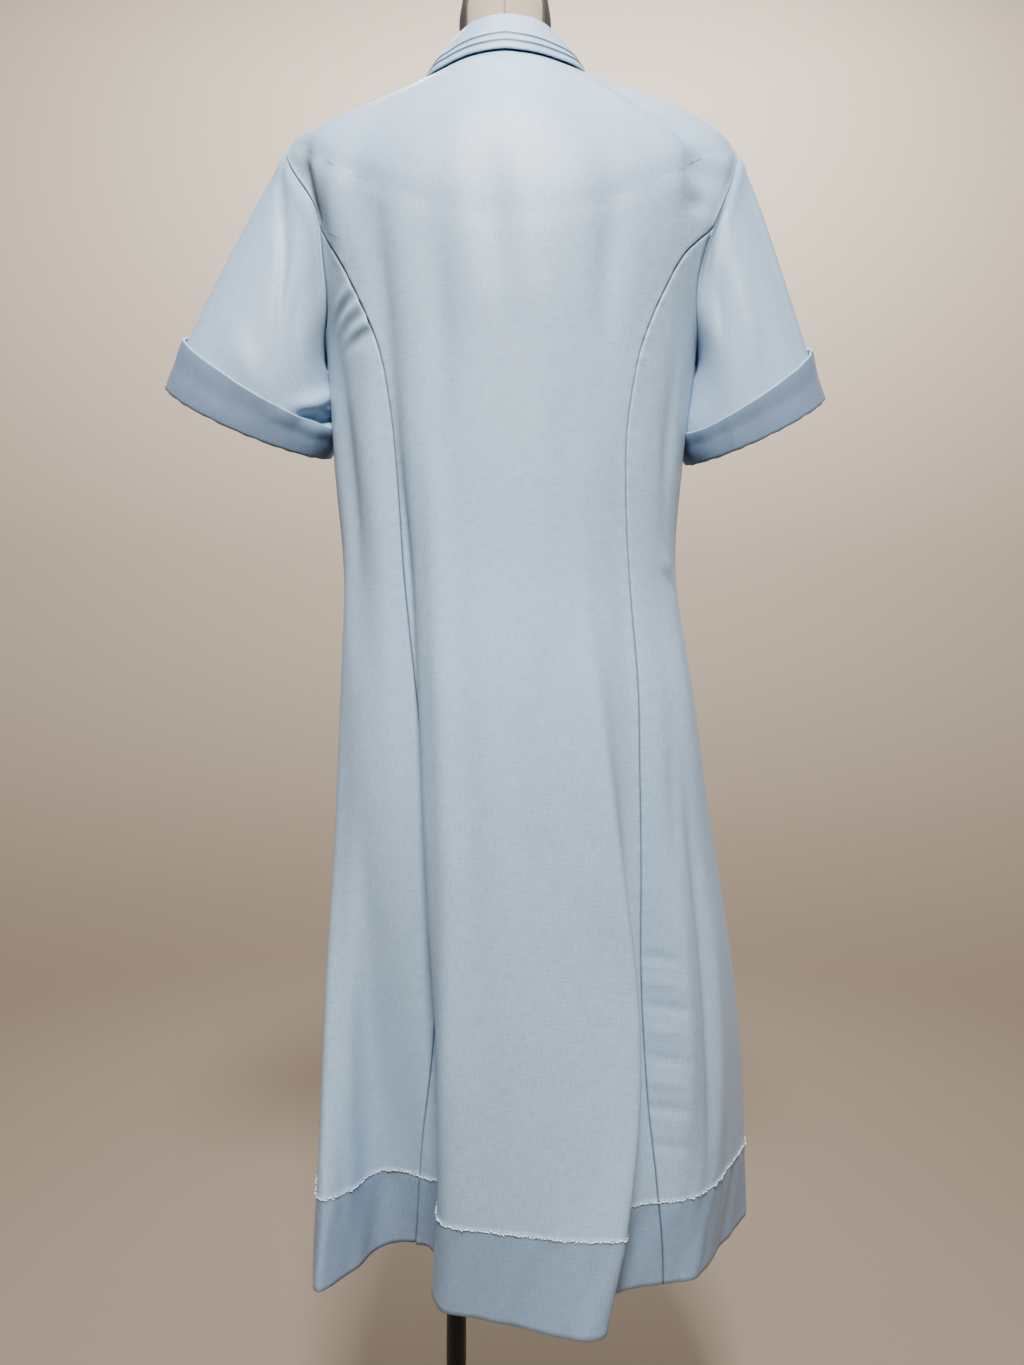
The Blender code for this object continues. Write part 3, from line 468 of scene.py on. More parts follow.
def make_weave_group():
    """Plain weave: warp and weft threads pass over each other in turn."""
    tree = bpy.data.node_groups.new("plain_weave", "ShaderNodeTree")
    for word, kind, value in (
        ("Place", "NodeSocketVector", None),
        ("Thread Pitch", "NodeSocketFloat", THREAD_PITCH),
        ("Pale", "NodeSocketColor", (*CLOTH_PALE, 1.0)),
        ("Deep", "NodeSocketColor", (*CLOTH_DEEP, 1.0)),
        ("Slub", "NodeSocketFloat", 0.5),
    ):
        socket = tree.interface.new_socket(word, in_out="INPUT", socket_type=kind)
        if value is not None:
            socket.default_value = value
    tree.interface.new_socket("Color", in_out="OUTPUT", socket_type="NodeSocketColor")
    tree.interface.new_socket("Height", in_out="OUTPUT", socket_type="NodeSocketFloat")
    given = tree.nodes.new("NodeGroupInput")
    given_place, pitch = given.outputs["Place"], given.outputs["Thread Pitch"]
    wobble = noise(tree, stretched(tree, given_place, (60.0, 60.0, 1.0)), 1.0, 1.0)
    split = new_node(tree, "ShaderNodeSeparateXYZ", inputs={0: given_place})
    waves = []
    for axis in (0, 1):
        thread = maths(tree, "DIVIDE", split.outputs[axis], pitch)
        thread = maths(tree, "ADD", thread, maths(tree, "MULTIPLY", wobble, 1.6))
        waves.append(maths(tree, "SINE", maths(tree, "MULTIPLY", thread, math.pi)))
    crossing = maths(tree, "MULTIPLY", waves[0], waves[1])
    warp_top = maths(tree, "MULTIPLY_ADD", crossing, 0.5, 0.5)
    ridge_across = maths(tree, "ABSOLUTE", waves[0])
    ridge_along = maths(tree, "ABSOLUTE", waves[1])
    over = maths(tree, "MULTIPLY", ridge_across, warp_top)
    under = maths(tree, "MULTIPLY", ridge_along, maths(tree, "SUBTRACT", 1.0, warp_top))
    height = maths(tree, "ADD", over, under)
    slub_up = noise(tree, stretched(tree, given_place, (950.0, 80.0, 1.0)), 1.0, 1.0)
    slub_across = noise(tree, stretched(tree, given_place, (80.0, 950.0, 1.0)), 1.0, 1.0)
    slubs = maths(tree, "MULTIPLY_ADD", maths(tree, "ADD", slub_up, slub_across), 1.0, -0.5)
    cloud = noise(tree, stretched(tree, given_place, (9.0, 5.0, 1.0)), 1.0, 3.0)
    share = maths(tree, "MULTIPLY_ADD", maths(tree, "SUBTRACT", slubs, 0.5), given.outputs["Slub"], 0.5)
    share = maths(tree, "MULTIPLY_ADD", maths(tree, "SUBTRACT", cloud, 0.5), 0.6, share)
    # The weave's relief tints the colour too: painted highlight on the thread tops and painted shade between
    # the threads.
    share = maths(tree, "MULTIPLY_ADD", maths(tree, "SUBTRACT", height, 0.5), 0.25, share)
    limited = new_node(tree, "ShaderNodeClamp", inputs={0: share})
    color = mixed(tree, limited.outputs[0], given.outputs["Deep"], given.outputs["Pale"])
    result = tree.nodes.new("NodeGroupOutput")
    link(tree, color, result.inputs["Color"])
    relief = maths(tree, "MULTIPLY_ADD", maths(tree, "SUBTRACT", slubs, 0.5), 0.8, height)
    link(tree, relief, result.inputs["Height"])
    return tree


weave_group = make_weave_group()


def start_material(name, **values):
    """A named Principled finish and its tree; constants go on the shader's own sockets."""
    finish = bpy.data.materials.new(name)
    finish.use_nodes = True
    shader = finish.node_tree.nodes["Principled BSDF"]
    for word, value in values.items():
        shader.inputs[word.replace("_", " ").title().replace("Ior", "IOR")].default_value = value
    return finish, finish.node_tree, shader


def add_bump(tree, shader, height, strength, distance):
    bump = new_node(tree, "ShaderNodeBump", inputs={
        "Strength": strength, "Distance": distance, "Height": height,
    })
    link(tree, bump.outputs["Normal"], shader.inputs["Normal"])


def make_cloth():
    finish, tree, shader = start_material(
        "pale_blue_cloth", roughness=0.46, specular_ior_level=0.66, sheen_weight=0.05,
        sheen_roughness=0.45, sheen_tint=(0.80, 0.90, 1.0, 1.0),
    )
    cut = new_node(tree, "ShaderNodeUVMap", settings={"uv_map": "cut"})
    weave = new_node(tree, "ShaderNodeGroup", settings={"node_tree": weave_group}, inputs={
        "Place": cut.outputs["UV"], "Thread Pitch": THREAD_PITCH, "Slub": 0.90,
        "Pale": (*CLOTH_PALE, 1.0), "Deep": (*CLOTH_DEEP, 1.0),
    })
    doubled = new_node(tree, "ShaderNodeAttribute", settings={"attribute_name": "doubled"})
    seam = new_node(tree, "ShaderNodeAttribute", settings={"attribute_name": "seam"})
    # Painted shade: the doubled hem band and cuffs are darkened towards DOUBLED_SHADE.
    color = mixed(tree, doubled.outputs["Fac"], weave.outputs["Color"], DOUBLED_SHADE, "MULTIPLY")
    # Painted shade: dark lines in the seam grooves, under the collar tucks and along the sleeves' armhole
    # seams.
    color = mixed(tree, seam.outputs["Fac"], color, SEAM_SHADE)
    link(tree, color, shader.inputs["Base Color"])
    add_bump(tree, shader, weave.outputs["Height"], 0.35, 0.00012)
    return finish


cloth_finish = make_cloth()

# Back: one panel from the neckline and shoulders to the hem, cut on the straight grain. Its
# edges are the two princess seams, the armholes and the shoulder seams.
PITCH = 0.0040
SEAM_SPOTS = (0.0, 0.0005, 0.0011, 0.0020, 0.0032)
SEAM_DROP = 0.0010
SEAM_DROP_WIDTH = 0.0009
SEAM_WELT = 0.0002
SEAM_WELT_PLACE = 0.0034
SEAM_WELT_WIDTH = 0.0022
SEAM_PAINTED_SHADE_WIDTH = 0.0008
SEAM_PAINTED_SHADE_STRENGTH = 0.8
ARMHOLE_ROLL = 0.0010
ARMHOLE_ROLL_PLACE = 0.0007
ARMHOLE_ROLL_WIDTH = 0.0018
PUCKER_REACH = 0.008
YOKE_ROWS = 44
ARMHOLE_ROWS = 22
RISE_ROWS = 36
HEM_RIDGE = 0.0007
HEM_RIDGE_WIDTH = 0.0014
HEM_PUCKER = 0.0006
HEM_PUCKER_REACH = 0.022
HEM_BAND_WAVE = 0.0009
ROUNDING = 0.35

SKIRT_LEVELS = np.concatenate([
    np.linspace(HEM_HEIGHT, HEM_LINE - 0.0055, round((HEM_ALLOWANCE - 0.0055) / PITCH)),
    np.linspace(HEM_LINE - 0.0045, HEM_LINE + 0.0045, 10),
    np.linspace(HEM_LINE + 0.0075, CHEST_HEIGHT, round((CHEST_HEIGHT - HEM_LINE) / PITCH)),
])
RISE_SHARES = np.arange(1, RISE_ROWS + 1) / RISE_ROWS
ARMHOLE_SHARES = np.sin(math.pi / 2 * np.arange(1, ARMHOLE_ROWS + 1) / ARMHOLE_ROWS)
CENTRE_LEVELS = np.concatenate([
    SKIRT_LEVELS,
    CHEST_HEIGHT + (JUNCTION_HEIGHT - CHEST_HEIGHT) * RISE_SHARES,
    JUNCTION_HEIGHT + (SHOULDER_HEIGHT - JUNCTION_HEIGHT) * ARMHOLE_SHARES,
    SHOULDER_HEIGHT + np.arange(1, YOKE_ROWS + 1) / YOKE_ROWS,
])


def shares_across(width):
    """Shares across a panel: close together at both edges, then even."""
    fine = np.array(SEAM_SPOTS) / width
    margin = 0.0044 / width
    return np.concatenate([fine, np.linspace(margin, 1.0 - margin, round(width / PITCH)), 1.0 - fine[::-1]])


def distance_to_edge(grid, edge, reach=7):
    """How far each point of a grid lies from an edge line that runs beside its rows."""
    best = np.full(grid.shape[:2], np.inf)
    for shift in range(-reach, reach):
        first = np.clip(np.arange(len(edge)) + shift, 0, len(edge) - 2)
        low = edge[first][:, None, :]
        run = edge[first + 1][:, None, :] - low
        share = np.clip(((grid - low) * run).sum(-1) / (run * run).sum(-1), 0.0, 1.0)
        best = np.minimum(best, np.linalg.norm(grid - low - run * share[..., None], axis=-1))
    return best


def flat_places(grid, ring=False):
    """Where each point lay in the flat cut: metres across from the middle, and up."""
    closed = np.concatenate([grid, grid[:, :1]], axis=1) if ring else grid
    steps = np.linalg.norm(np.diff(closed, axis=1), axis=-1)
    across = np.concatenate([np.zeros((len(grid), 1)), np.cumsum(steps, axis=1)], axis=1)
    across = across - across[:, across.shape[1] // 2][:, None]
    middle = grid[:, grid.shape[1] // 2]
    up = np.concatenate([[0.0], np.cumsum(np.linalg.norm(np.diff(middle, axis=0), axis=-1))])
    return np.stack([across, up[:, None] + 0.0 * across], axis=-1)


def shell(name, outer, inner, ring=False, marks=None, doubled=None):
    """A closed cloth wall between two grids, with rounded free edges and its cutting map.
    In a ring the last column meets the first."""
    rows, columns = outer.shape[:2]
    thick = np.linalg.norm(outer - inner, axis=-1)[..., None]
    top = (outer[-1] + inner[-1]) / 2 + unit(outer[-1] - outer[-2]) * thick[-1] * ROUNDING
    bottom = (outer[0] + inner[0]) / 2 + unit(outer[0] - outer[1]) * thick[0] * ROUNDING
    points = np.concatenate([outer, top[None], inner[::-1], bottom[None]])
    flat = flat_places(outer, ring)
    flat = np.concatenate([flat, flat[-1:], flat[::-1], flat[:1]])
    total = len(points)
    index = np.arange(total * columns).reshape(total, columns)
    cells_across = columns if ring else columns - 1
    row, column = np.meshgrid(np.arange(total), np.arange(cells_across), indexing="ij")
    corner_rows = np.stack([row, row, row + 1, row + 1], axis=-1).reshape(-1, 4)
    corner_columns = np.stack([column, column + 1, column + 1, column], axis=-1).reshape(-1, 4)
    faces = index[corner_rows % total, corner_columns % columns].tolist()
    corners = flat[corner_rows % total, corner_columns].reshape(-1, 2)
    if not ring:
        spots = []
        for column in (0, columns - 1):
            for row in range(rows - 1):
                behind = 2 * rows - row
                spots.append([(row, column), (row + 1, column), (behind - 1, column), (behind, column)])
            spots.append([(rows - 1, column), (rows, column), (rows + 1, column)])
            spots.append([(2 * rows, column), (2 * rows + 1, column), (0, column)])
        faces += [[int(index[spot]) for spot in face] for face in spots]
        corners = np.concatenate([corners, np.array([flat[spot] for face in spots for spot in face])])
    mesh = bpy.data.meshes.new(name)
    mesh.from_pydata(points.reshape(-1, 3).tolist(), [], faces)
    layer = mesh.uv_layers.new(name="cut")
    layer.data.foreach_set("uv", corners.astype(np.float32).ravel())
    # Painted shade for the cloth material: the seam attribute darkens seam grooves and tuck lines, the
    # doubled one the hem band and cuffs.
    for word, values in (("seam", marks), ("doubled", doubled)):
        shade = np.zeros((total, columns))
        if values is not None:
            shade[:rows] = values
            shade[rows] = shade[rows - 1]
            shade[-1] = shade[0]
        layer = mesh.attributes.new(word, "FLOAT", "POINT")
        layer.data.foreach_set("value", shade.astype(np.float32).ravel())
    work = bmesh.new()
    work.from_mesh(mesh)
    bmesh.ops.recalc_face_normals(work, faces=work.faces)
    work.to_mesh(mesh)
    work.free()
    mesh.shade_smooth()
    mesh.materials.append(cloth_finish)
    piece = bpy.data.objects.new(name, mesh)
    bpy.context.collection.objects.link(piece)
    return piece


def declare_cloth(piece, node):
    """The piece stands for its CAD node, which is hidden, and hangs on the root body."""
    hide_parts(node)
    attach(piece, "root")


def seam_shape(apart, rolled=0.0):
    """Cloth beside a seam: it dips into the seam and swells a little next to it. Where it
    is rolled, at an armhole, its edge stands up over the sleeve instead."""
    welt = SEAM_WELT * np.exp(-(((apart - SEAM_WELT_PLACE) / SEAM_WELT_WIDTH) ** 2))
    dip = welt - SEAM_DROP * np.exp(-((apart / SEAM_DROP_WIDTH) ** 2))
    roll = ARMHOLE_ROLL * np.exp(-(((apart - ARMHOLE_ROLL_PLACE) / ARMHOLE_ROLL_WIDTH) ** 2))
    return dip + (roll - dip) * rolled


def panel(name, level, angle, lift=0.0, seams=("left", "right"), creases=(), ripple=0.0):
    """One cut piece of the dress from grids of levels and angles. Gives the object, its
    outer grid and its normals."""
    normal = cloth_normal(cloth_point, level, angle)
    outer = cloth_point(level, angle) + normal * np.asarray(lift)[..., None]
    height = outer[..., 2]
    marks = np.zeros(outer.shape[:2])
    move = crease_lift(creases, angle, height) if creases else np.zeros(outer.shape[:2])
    edges = {"left": outer[:, 0], "right": outer[:, -1]}
    for side in seams:
        if side == "top":
            apart = distance_to_edge(outer.transpose(1, 0, 2), outer[-1]).T
            rolled = np.ones(outer.shape[:2])
        else:
            apart = distance_to_edge(outer, edges[side])
            edge_level = level[:, 0] if side == "left" else level[:, -1]
            above_seam = ease((edge_level - JUNCTION_HEIGHT) / 0.004)
            below_shoulder = ease((SHOULDER_HEIGHT - edge_level) / 0.004)
            rolled = (above_seam * below_shoulder)[:, None] * np.ones(outer.shape[1])
        move = move + seam_shape(apart, rolled)
        wrinkle = ripple * uneven(height, 0.017, 0.7) * np.exp(-((apart / PUCKER_REACH) ** 2))
        move = move + wrinkle * (1.0 - rolled)
        # Painted shade: a thin dark line along the seam groove, left off the rolled armhole edge.
        painted_seam_shade = SEAM_PAINTED_SHADE_STRENGTH * np.exp(-((apart / SEAM_PAINTED_SHADE_WIDTH) ** 2))
        marks = np.maximum(marks, painted_seam_shade * (1.0 - rolled))
    round_body = angle * METRES_PER_DEGREE
    line = HEM_LINE + 0.0006 * uneven(round_body, 0.015, 0.3)
    ridge = HEM_RIDGE * (1.0 + 0.5 * uneven(round_body, 0.013, 2.0))
    move = move + ridge * np.exp(-(((level - line) / HEM_RIDGE_WIDTH) ** 2))
    near_line = np.exp(-(((level - HEM_LINE) / HEM_PUCKER_REACH) ** 2))
    move = move + HEM_PUCKER * near_line * uneven(round_body, 0.021, 1.1)
    in_band = ease((HEM_LINE - level) / 0.010)
    move = move + HEM_BAND_WAVE * in_band * uneven(round_body + height * 0.25, 0.034, 0.9)
    outer = outer + normal * move[..., None]
    wall = np.where(level <= HEM_LINE, HEM_WALL, WALL)[..., None] + 0.0 * outer[..., :1]
    inner = outer - normal * wall
    for grid in (outer, inner):
        grid[:, 0] += unit(grid[:, 1] - grid[:, 0]) * GAP / 2.0
        grid[:, -1] += unit(grid[:, -2] - grid[:, -1]) * GAP / 2.0
        if "top" in seams:
            grid[-1] += unit(grid[-2] - grid[-1]) * GAP / 2.0
    # Painted shade: the doubled hem band below the stitch line is darkened.
    doubled = HEM_PAINTED_SHADE * ease((line - level) / 0.0016)
    return shell(name, outer, inner, marks=marks, doubled=doubled), outer, normal


def spread(start, end, shares):
    """Angles between two edges, one row for each level."""
    return start[:, None] + (end - start)[:, None] * shares[None, :]


back_left_edge = outer_edge(CENTRE_LEVELS, 1, "back_left", ARMHOLE_BACK)
back_right_edge = outer_edge(CENTRE_LEVELS, -1, "back_right", ARMHOLE_BACK)
back_angles = spread(back_right_edge, back_left_edge, shares_across(0.300))
back_levels = CENTRE_LEVELS[:, None] + 0.0 * back_angles
back, back_grid, back_normals = panel("back_panel", back_levels, back_angles, ripple=0.0003)
declare_cloth(back, "back")

# Side panels: two at the back and two at the front, between the princess seams and the
# side seams. Their curved top edges are the lower halves of the armholes.
SIDE_PUCKERS = {
    "side_back_left": [
        Crease(61, 1.208, 46, 1.224, 0.0045, 0.0021),
        Crease(59, 1.194, 44, 1.210, 0.0045, 0.0021),
        Crease(54, 1.181, 40, 1.194, 0.0048, 0.0024),
        Crease(59, 1.201, 45, 1.217, 0.0040, -0.0013),
        Crease(56, 1.187, 42, 1.202, 0.0040, -0.0016),
        Crease(57, 1.172, 40, 1.184, 0.0065, -0.0022),
        Crease(66, 1.170, 62, 0.940, 0.0220, -0.0090),
        Crease(60, 0.700, 58, 0.320, 0.0170, -0.0160),
        Crease(74, 0.900, 80, 0.500, 0.0140, 0.0060),
    ],
    "side_back_right": [
        Crease(-60, 0.992, -70, 0.982, 0.0080, 0.0014),
        Crease(-61, 0.976, -72, 0.966, 0.0080, -0.0010),
        Crease(-52, 0.850, -45, 0.700, 0.0090, -0.0026),
        Crease(-36, 0.641, -44, 0.636, 0.0040, -0.0012),
        Crease(-36, 0.620, -45, 0.612, 0.0050, 0.0010),
        Crease(-36, 0.598, -46, 0.590, 0.0045, -0.0013),
        Crease(-37, 0.574, -44, 0.570, 0.0050, 0.0010),
        Crease(-37, 0.550, -46, 0.543, 0.0045, -0.0013),
        Crease(-38, 0.528, -45, 0.523, 0.0050, 0.0010),
        Crease(-38, 0.504, -47, 0.498, 0.0045, -0.0013),
        Crease(-39, 0.470, -48, 0.463, 0.0050, -0.0010),
        Crease(-45, 0.700, -47, 0.430, 0.0080, 0.0050),
        Crease(-56, 0.740, -57, 0.420, 0.0110, -0.0095),
        Crease(-58, 1.160, -62, 1.030, 0.0120, -0.0030),
    ],
    "side_front_left": [
        Crease(132, 1.200, 118, 1.212, 0.0040, 0.0015),
        Crease(128, 1.186, 116, 1.196, 0.0040, -0.0015),
        Crease(118, 0.930, 108, 0.700, 0.0120, -0.0030),
    ],
    "side_front_right": [
        Crease(-131, 1.206, -117, 1.218, 0.0040, 0.0016),
        Crease(-128, 1.190, -115, 1.200, 0.0040, -0.0016),
        Crease(-120, 0.900, -110, 0.640, 0.0130, -0.0035),
    ],
}


def side_places(side, column, reach, shares):
    """Levels and angles of a side panel, row by row up to the armhole's lower half."""
    front = column == "front"
    seam = outer_edge(SKIRT_LEVELS, side, column, reach)
    side_seam = np.full(len(SKIRT_LEVELS), side * 90.0)
    skirt_angles = spread(seam, side_seam, shares)
    skirt_levels = SKIRT_LEVELS[:, None] + 0.0 * skirt_angles
    first = math.acos((JUNCTION_HEIGHT - ARMHOLE_MIDDLE) / ARMHOLE_HALF)
    turn = first + (math.pi - first) * shares
    top_levels = ARMHOLE_MIDDLE + ARMHOLE_HALF * np.cos(turn)
    away = reach * np.sin(turn)
    top_angles = side * (90.0 + away if front else 90.0 - away)
    junction = np.array([side * along(PRINCESS, "height", column, np.array(JUNCTION_HEIGHT))])
    plain_top = spread(junction, np.array([side * 90.0]), shares)[0]
    seam_levels = CHEST_HEIGHT + (JUNCTION_HEIGHT - CHEST_HEIGHT) * RISE_SHARES
    seam_angles = side * along(PRINCESS, "height", column, seam_levels)
    plain = spread(seam_angles, np.full(RISE_ROWS, side * 90.0), shares)
    rise_angles = plain + (top_angles - plain_top)[None, :] * RISE_SHARES[:, None]
    rise_levels = CHEST_HEIGHT + (top_levels - CHEST_HEIGHT)[None, :] * RISE_SHARES[:, None]
    return np.concatenate([skirt_levels, rise_levels]), np.concatenate([skirt_angles, rise_angles])


side_panels = {}
for word, side in (("left", 1), ("right", -1)):
    for part, column, reach, width in (
        ("side_back_", "back_" + word, ARMHOLE_BACK, 0.160),
        ("side_front_", "front", ARMHOLE_FRONT, 0.130),
    ):
        node = part + word
        levels, angles = side_places(side, column, reach, shares_across(width))
        made = panel(node + "_panel", levels, angles, seams=("left", "right", "top"),
                     creases=SIDE_PUCKERS[node], ripple=0.0003)
        side_panels[node] = made
        declare_cloth(made[0], node)

# Fronts: the right one laps over the left at the centre, where the buttons close it. Both
# run from the shoulder to the hem, with the front neckline cut low for the collar.
FRONT_OVERLAP = 0.015
NECK_LAP_ROOM = 0.0008
CAD_FRONT_COLUMNS = 5


def front_places(side):
    edge = np.abs(outer_edge(CENTRE_LEVELS, side, "front", ARMHOLE_FRONT))
    reach = np.abs(cloth_point(CENTRE_LEVELS, 180.0)[:, 1] - NECK_CENTRE[1])
    past = np.degrees(FRONT_OVERLAP / np.maximum(reach, NECK_FRONT))
    shares = shares_across(0.170)
    angles = side * spread(edge, 180.0 + past, shares)
    ramp_start = edge + (180.0 - past - edge) * (CAD_FRONT_COLUMNS - 1) / CAD_FRONT_COLUMNS
    lap = ease((np.abs(angles) - ramp_start[:, None]) / (180.0 - past - ramp_start)[:, None])
    return CENTRE_LEVELS[:, None] + 0.0 * angles, angles, lap


fronts = {}
for word, side in (("left", 1), ("right", -1)):
    levels, angles, lap = front_places(side)
    room = GAP + NECK_LAP_ROOM * ease(levels - SHOULDER_HEIGHT)
    lift = lap * (np.where(levels <= HEM_LINE, HEM_WALL, WALL) + room) if word == "right" else 0.0 * lap
    made = panel("front_%s_panel" % word, levels, angles, lift=lift, seams=("left",), ripple=0.0003)
    fronts[word] = made
    declare_cloth(made[0], "front_" + word)

# Sleeves: short, set in to the armholes with a little fullness at the head. Each hangs as
# an open tube that leans out and forward.
Sleeve = namedtuple("Sleeve", "word side end_x end_y end_height tilt pitch half_width half_depth turn")
SLEEVES = [
    Sleeve("left", 1, 0.248, -0.012, 1.127, 24.0, 19.0, 0.080, 0.062, 0.0),
    Sleeve("right", -1, 0.232, -0.016, 1.122, 26.0, 16.0, 0.071, 0.062, 18.0),
]
SLEEVE_COLUMNS = 132
SLEEVE_ROWS = 60
SLEEVE_START_PULL = 0.105
SLEEVE_END_PULL = 0.110
SLEEVE_OUTWARD = (0.9, 0.0, -0.3)
SLEEVE_LENGTH = 0.200
SLEEVE_GIRTH = 0.440
HEAD_FULLNESS = 0.0016

# Creases on a sleeve: share of its length, then degrees round it (0 outside, 90 back)
SleeveCrease = namedtuple("SleeveCrease", "share_a turn_a share_b turn_b width depth")
SLEEVE_CREASES = {
    "left": [
        SleeveCrease(0.08, 34, 0.48, 98, 0.0060, -0.0034),
        SleeveCrease(0.08, 84, 0.44, 116, 0.0260, -0.0080),
        SleeveCrease(0.76, 122, 0.46, 166, 0.0090, 0.0060),
        SleeveCrease(0.74, 132, 0.66, 178, 0.0080, -0.0090),
        SleeveCrease(0.62, 60, 0.72, 96, 0.0140, 0.0030),
        SleeveCrease(0.10, -70, 0.60, -80, 0.0100, -0.0040),
        SleeveCrease(0.55, -150, 0.75, -100, 0.0100, 0.0036),
        SleeveCrease(0.05, 164, 0.62, 178, 0.0260, 0.0150),
        SleeveCrease(0.50, 160, 0.92, 172, 0.0240, 0.0070),
    ],
    "right": [
        SleeveCrease(0.00, 88, 0.34, 116, 0.0220, -0.0085),
        SleeveCrease(0.30, 80, 0.66, 98, 0.0120, 0.0030),
        SleeveCrease(0.12, 30, 0.70, 42, 0.0060, 0.0022),
        SleeveCrease(0.00, 62, 0.14, 86, 0.0080, -0.0045),
        SleeveCrease(0.05, 166, 0.62, 180, 0.0260, 0.0135),
        SleeveCrease(0.50, 168, 0.90, 178, 0.0220, 0.0060),
        SleeveCrease(0.10, -80, 0.60, -86, 0.0110, -0.0040),
        SleeveCrease(0.60, -140, 0.78, -104, 0.0100, 0.0034),
    ],
}


def sleeve_surface(cut, shares, turns):
    """The outer face of a sleeve at shares of its length and degrees round it."""
    side = cut.side
    tilt, swing, pitch = math.radians(cut.tilt), math.radians(cut.turn), math.radians(cut.pitch)
    down = np.array([0.0, -math.sin(pitch), -math.cos(pitch)])
    axis = np.array([side * math.sin(tilt), 0.0, 0.0]) + down * math.cos(tilt)
    outer_side = np.array([side * math.cos(tilt), 0.0, 0.0]) - down * math.sin(tilt)
    backward = np.array([0.0, math.cos(pitch), -math.sin(pitch)])
    across = outer_side * math.cos(swing) - backward * math.sin(swing)
    deep = backward * math.cos(swing) + outer_side * math.sin(swing)
    end = np.array([side * cut.end_x, cut.end_y, cut.end_height])

    def armhole(turn_at):
        theta = np.radians(turn_at)
        level = ARMHOLE_MIDDLE + ARMHOLE_HALF * np.cos(theta)
        reach = np.where(np.sin(theta) >= 0.0, ARMHOLE_BACK, ARMHOLE_FRONT)
        return level, side * (90.0 - reach * np.sin(theta))

    level, angle = armhole(turns)
    start = cloth_point(level, angle)
    run = cloth_point(*armhole(turns + 1.5)) - cloth_point(*armhole(turns - 1.5))
    normal = cloth_normal(cloth_point, level, angle)
    into_hole = unit(np.cross(normal, run))
    facing = ((start.mean(axis=0) - start) * into_hole).sum(axis=-1, keepdims=True)
    into_hole = into_hole * np.sign(facing)
    theta = np.radians(turns)[:, None]
    upper = (1.0 + np.cos(theta)) / 2.0
    outward = np.array([side * SLEEVE_OUTWARD[0], SLEEVE_OUTWARD[1], SLEEVE_OUTWARD[2]])
    leave = unit(into_hole * upper * 0.8 + outward * (1.1 - upper * 0.6) + axis * 0.5)
    goal = end + across * cut.half_width * np.cos(theta) + deep * cut.half_depth * np.sin(theta)
    t = shares[:, None, None]
    return hermite(t, start + leave * GAP, leave * SLEEVE_START_PULL, goal, axis * SLEEVE_END_PULL)


def ring_normals(grid, side):
    """Directions square to a tube that is given by rings."""
    down = np.gradient(grid, axis=0)
    beside = np.roll(grid, -1, axis=1) - np.roll(grid, 1, axis=1)
    return unit(np.cross(down, beside)) * side


def sleeve_lift(cut, share, turn):
    """Head fullness and creases of a sleeve."""
    lift = HEAD_FULLNESS * np.exp(-(((share - 0.07) / 0.05) ** 2)) * (0.5 + 0.5 * np.cos(np.radians(turn)))
    for row in SLEEVE_CREASES[cut.word]:
        metres = SLEEVE_GIRTH / FULL_TURN
        x = ((turn - row.turn_a + 180.0) % FULL_TURN - 180.0) * metres
        y = (share - row.share_a) * SLEEVE_LENGTH
        run_x, run_y = (row.turn_b - row.turn_a) * metres, (row.share_b - row.share_a) * SLEEVE_LENGTH
        lift = lift + row.depth * crease_shape(x, y, run_x, run_y, row.width)
    return lift


sleeve_shares = np.concatenate([[0.0, 0.004, 0.010, 0.018], np.linspace(0.028, 1.0, SLEEVE_ROWS)])
sleeve_turns = np.linspace(-180.0, 180.0, SLEEVE_COLUMNS, endpoint=False)
sleeves = {}
for cut in SLEEVES:
    grid = sleeve_surface(cut, sleeve_shares, sleeve_turns)
    facing = ring_normals(grid, cut.side)
    share, turn = np.meshgrid(sleeve_shares, sleeve_turns, indexing="ij")
    from_seam = np.linalg.norm(grid - grid[0][None], axis=-1)
    lift = sleeve_lift(cut, share, turn) * ease(from_seam / 0.006)
    lift = lift - SEAM_DROP * np.exp(-((from_seam / 0.0012) ** 2))
    # Painted shadow: a thin dark line on the sleeve along its armhole seam.
    marks = 0.5 * np.exp(-((from_seam / 0.0010) ** 2))
    outer = grid + facing * lift[..., None]
    sleeves[cut.word] = outer
    piece = shell("sleeve_%s_cloth" % cut.word, outer, outer - facing * WALL, ring=True, marks=marks)
    declare_cloth(piece, "sleeve_" + cut.word)

# Cuffs: the doubled end of each sleeve is turned up outside it and pressed. Its free upper
# edge stands a little away from the sleeve and catches the light.
CUFF_START = 0.76
CUFF_WALL = 0.0018
CUFF_STAND = 0.0022
CUFF_FOLD = 0.0012
CUFF_RIM = 0.035
CUFF_RIM_ROWS = np.array([0.0, 0.012, 0.024, 0.04])
CUFF_WAVE = 0.0007

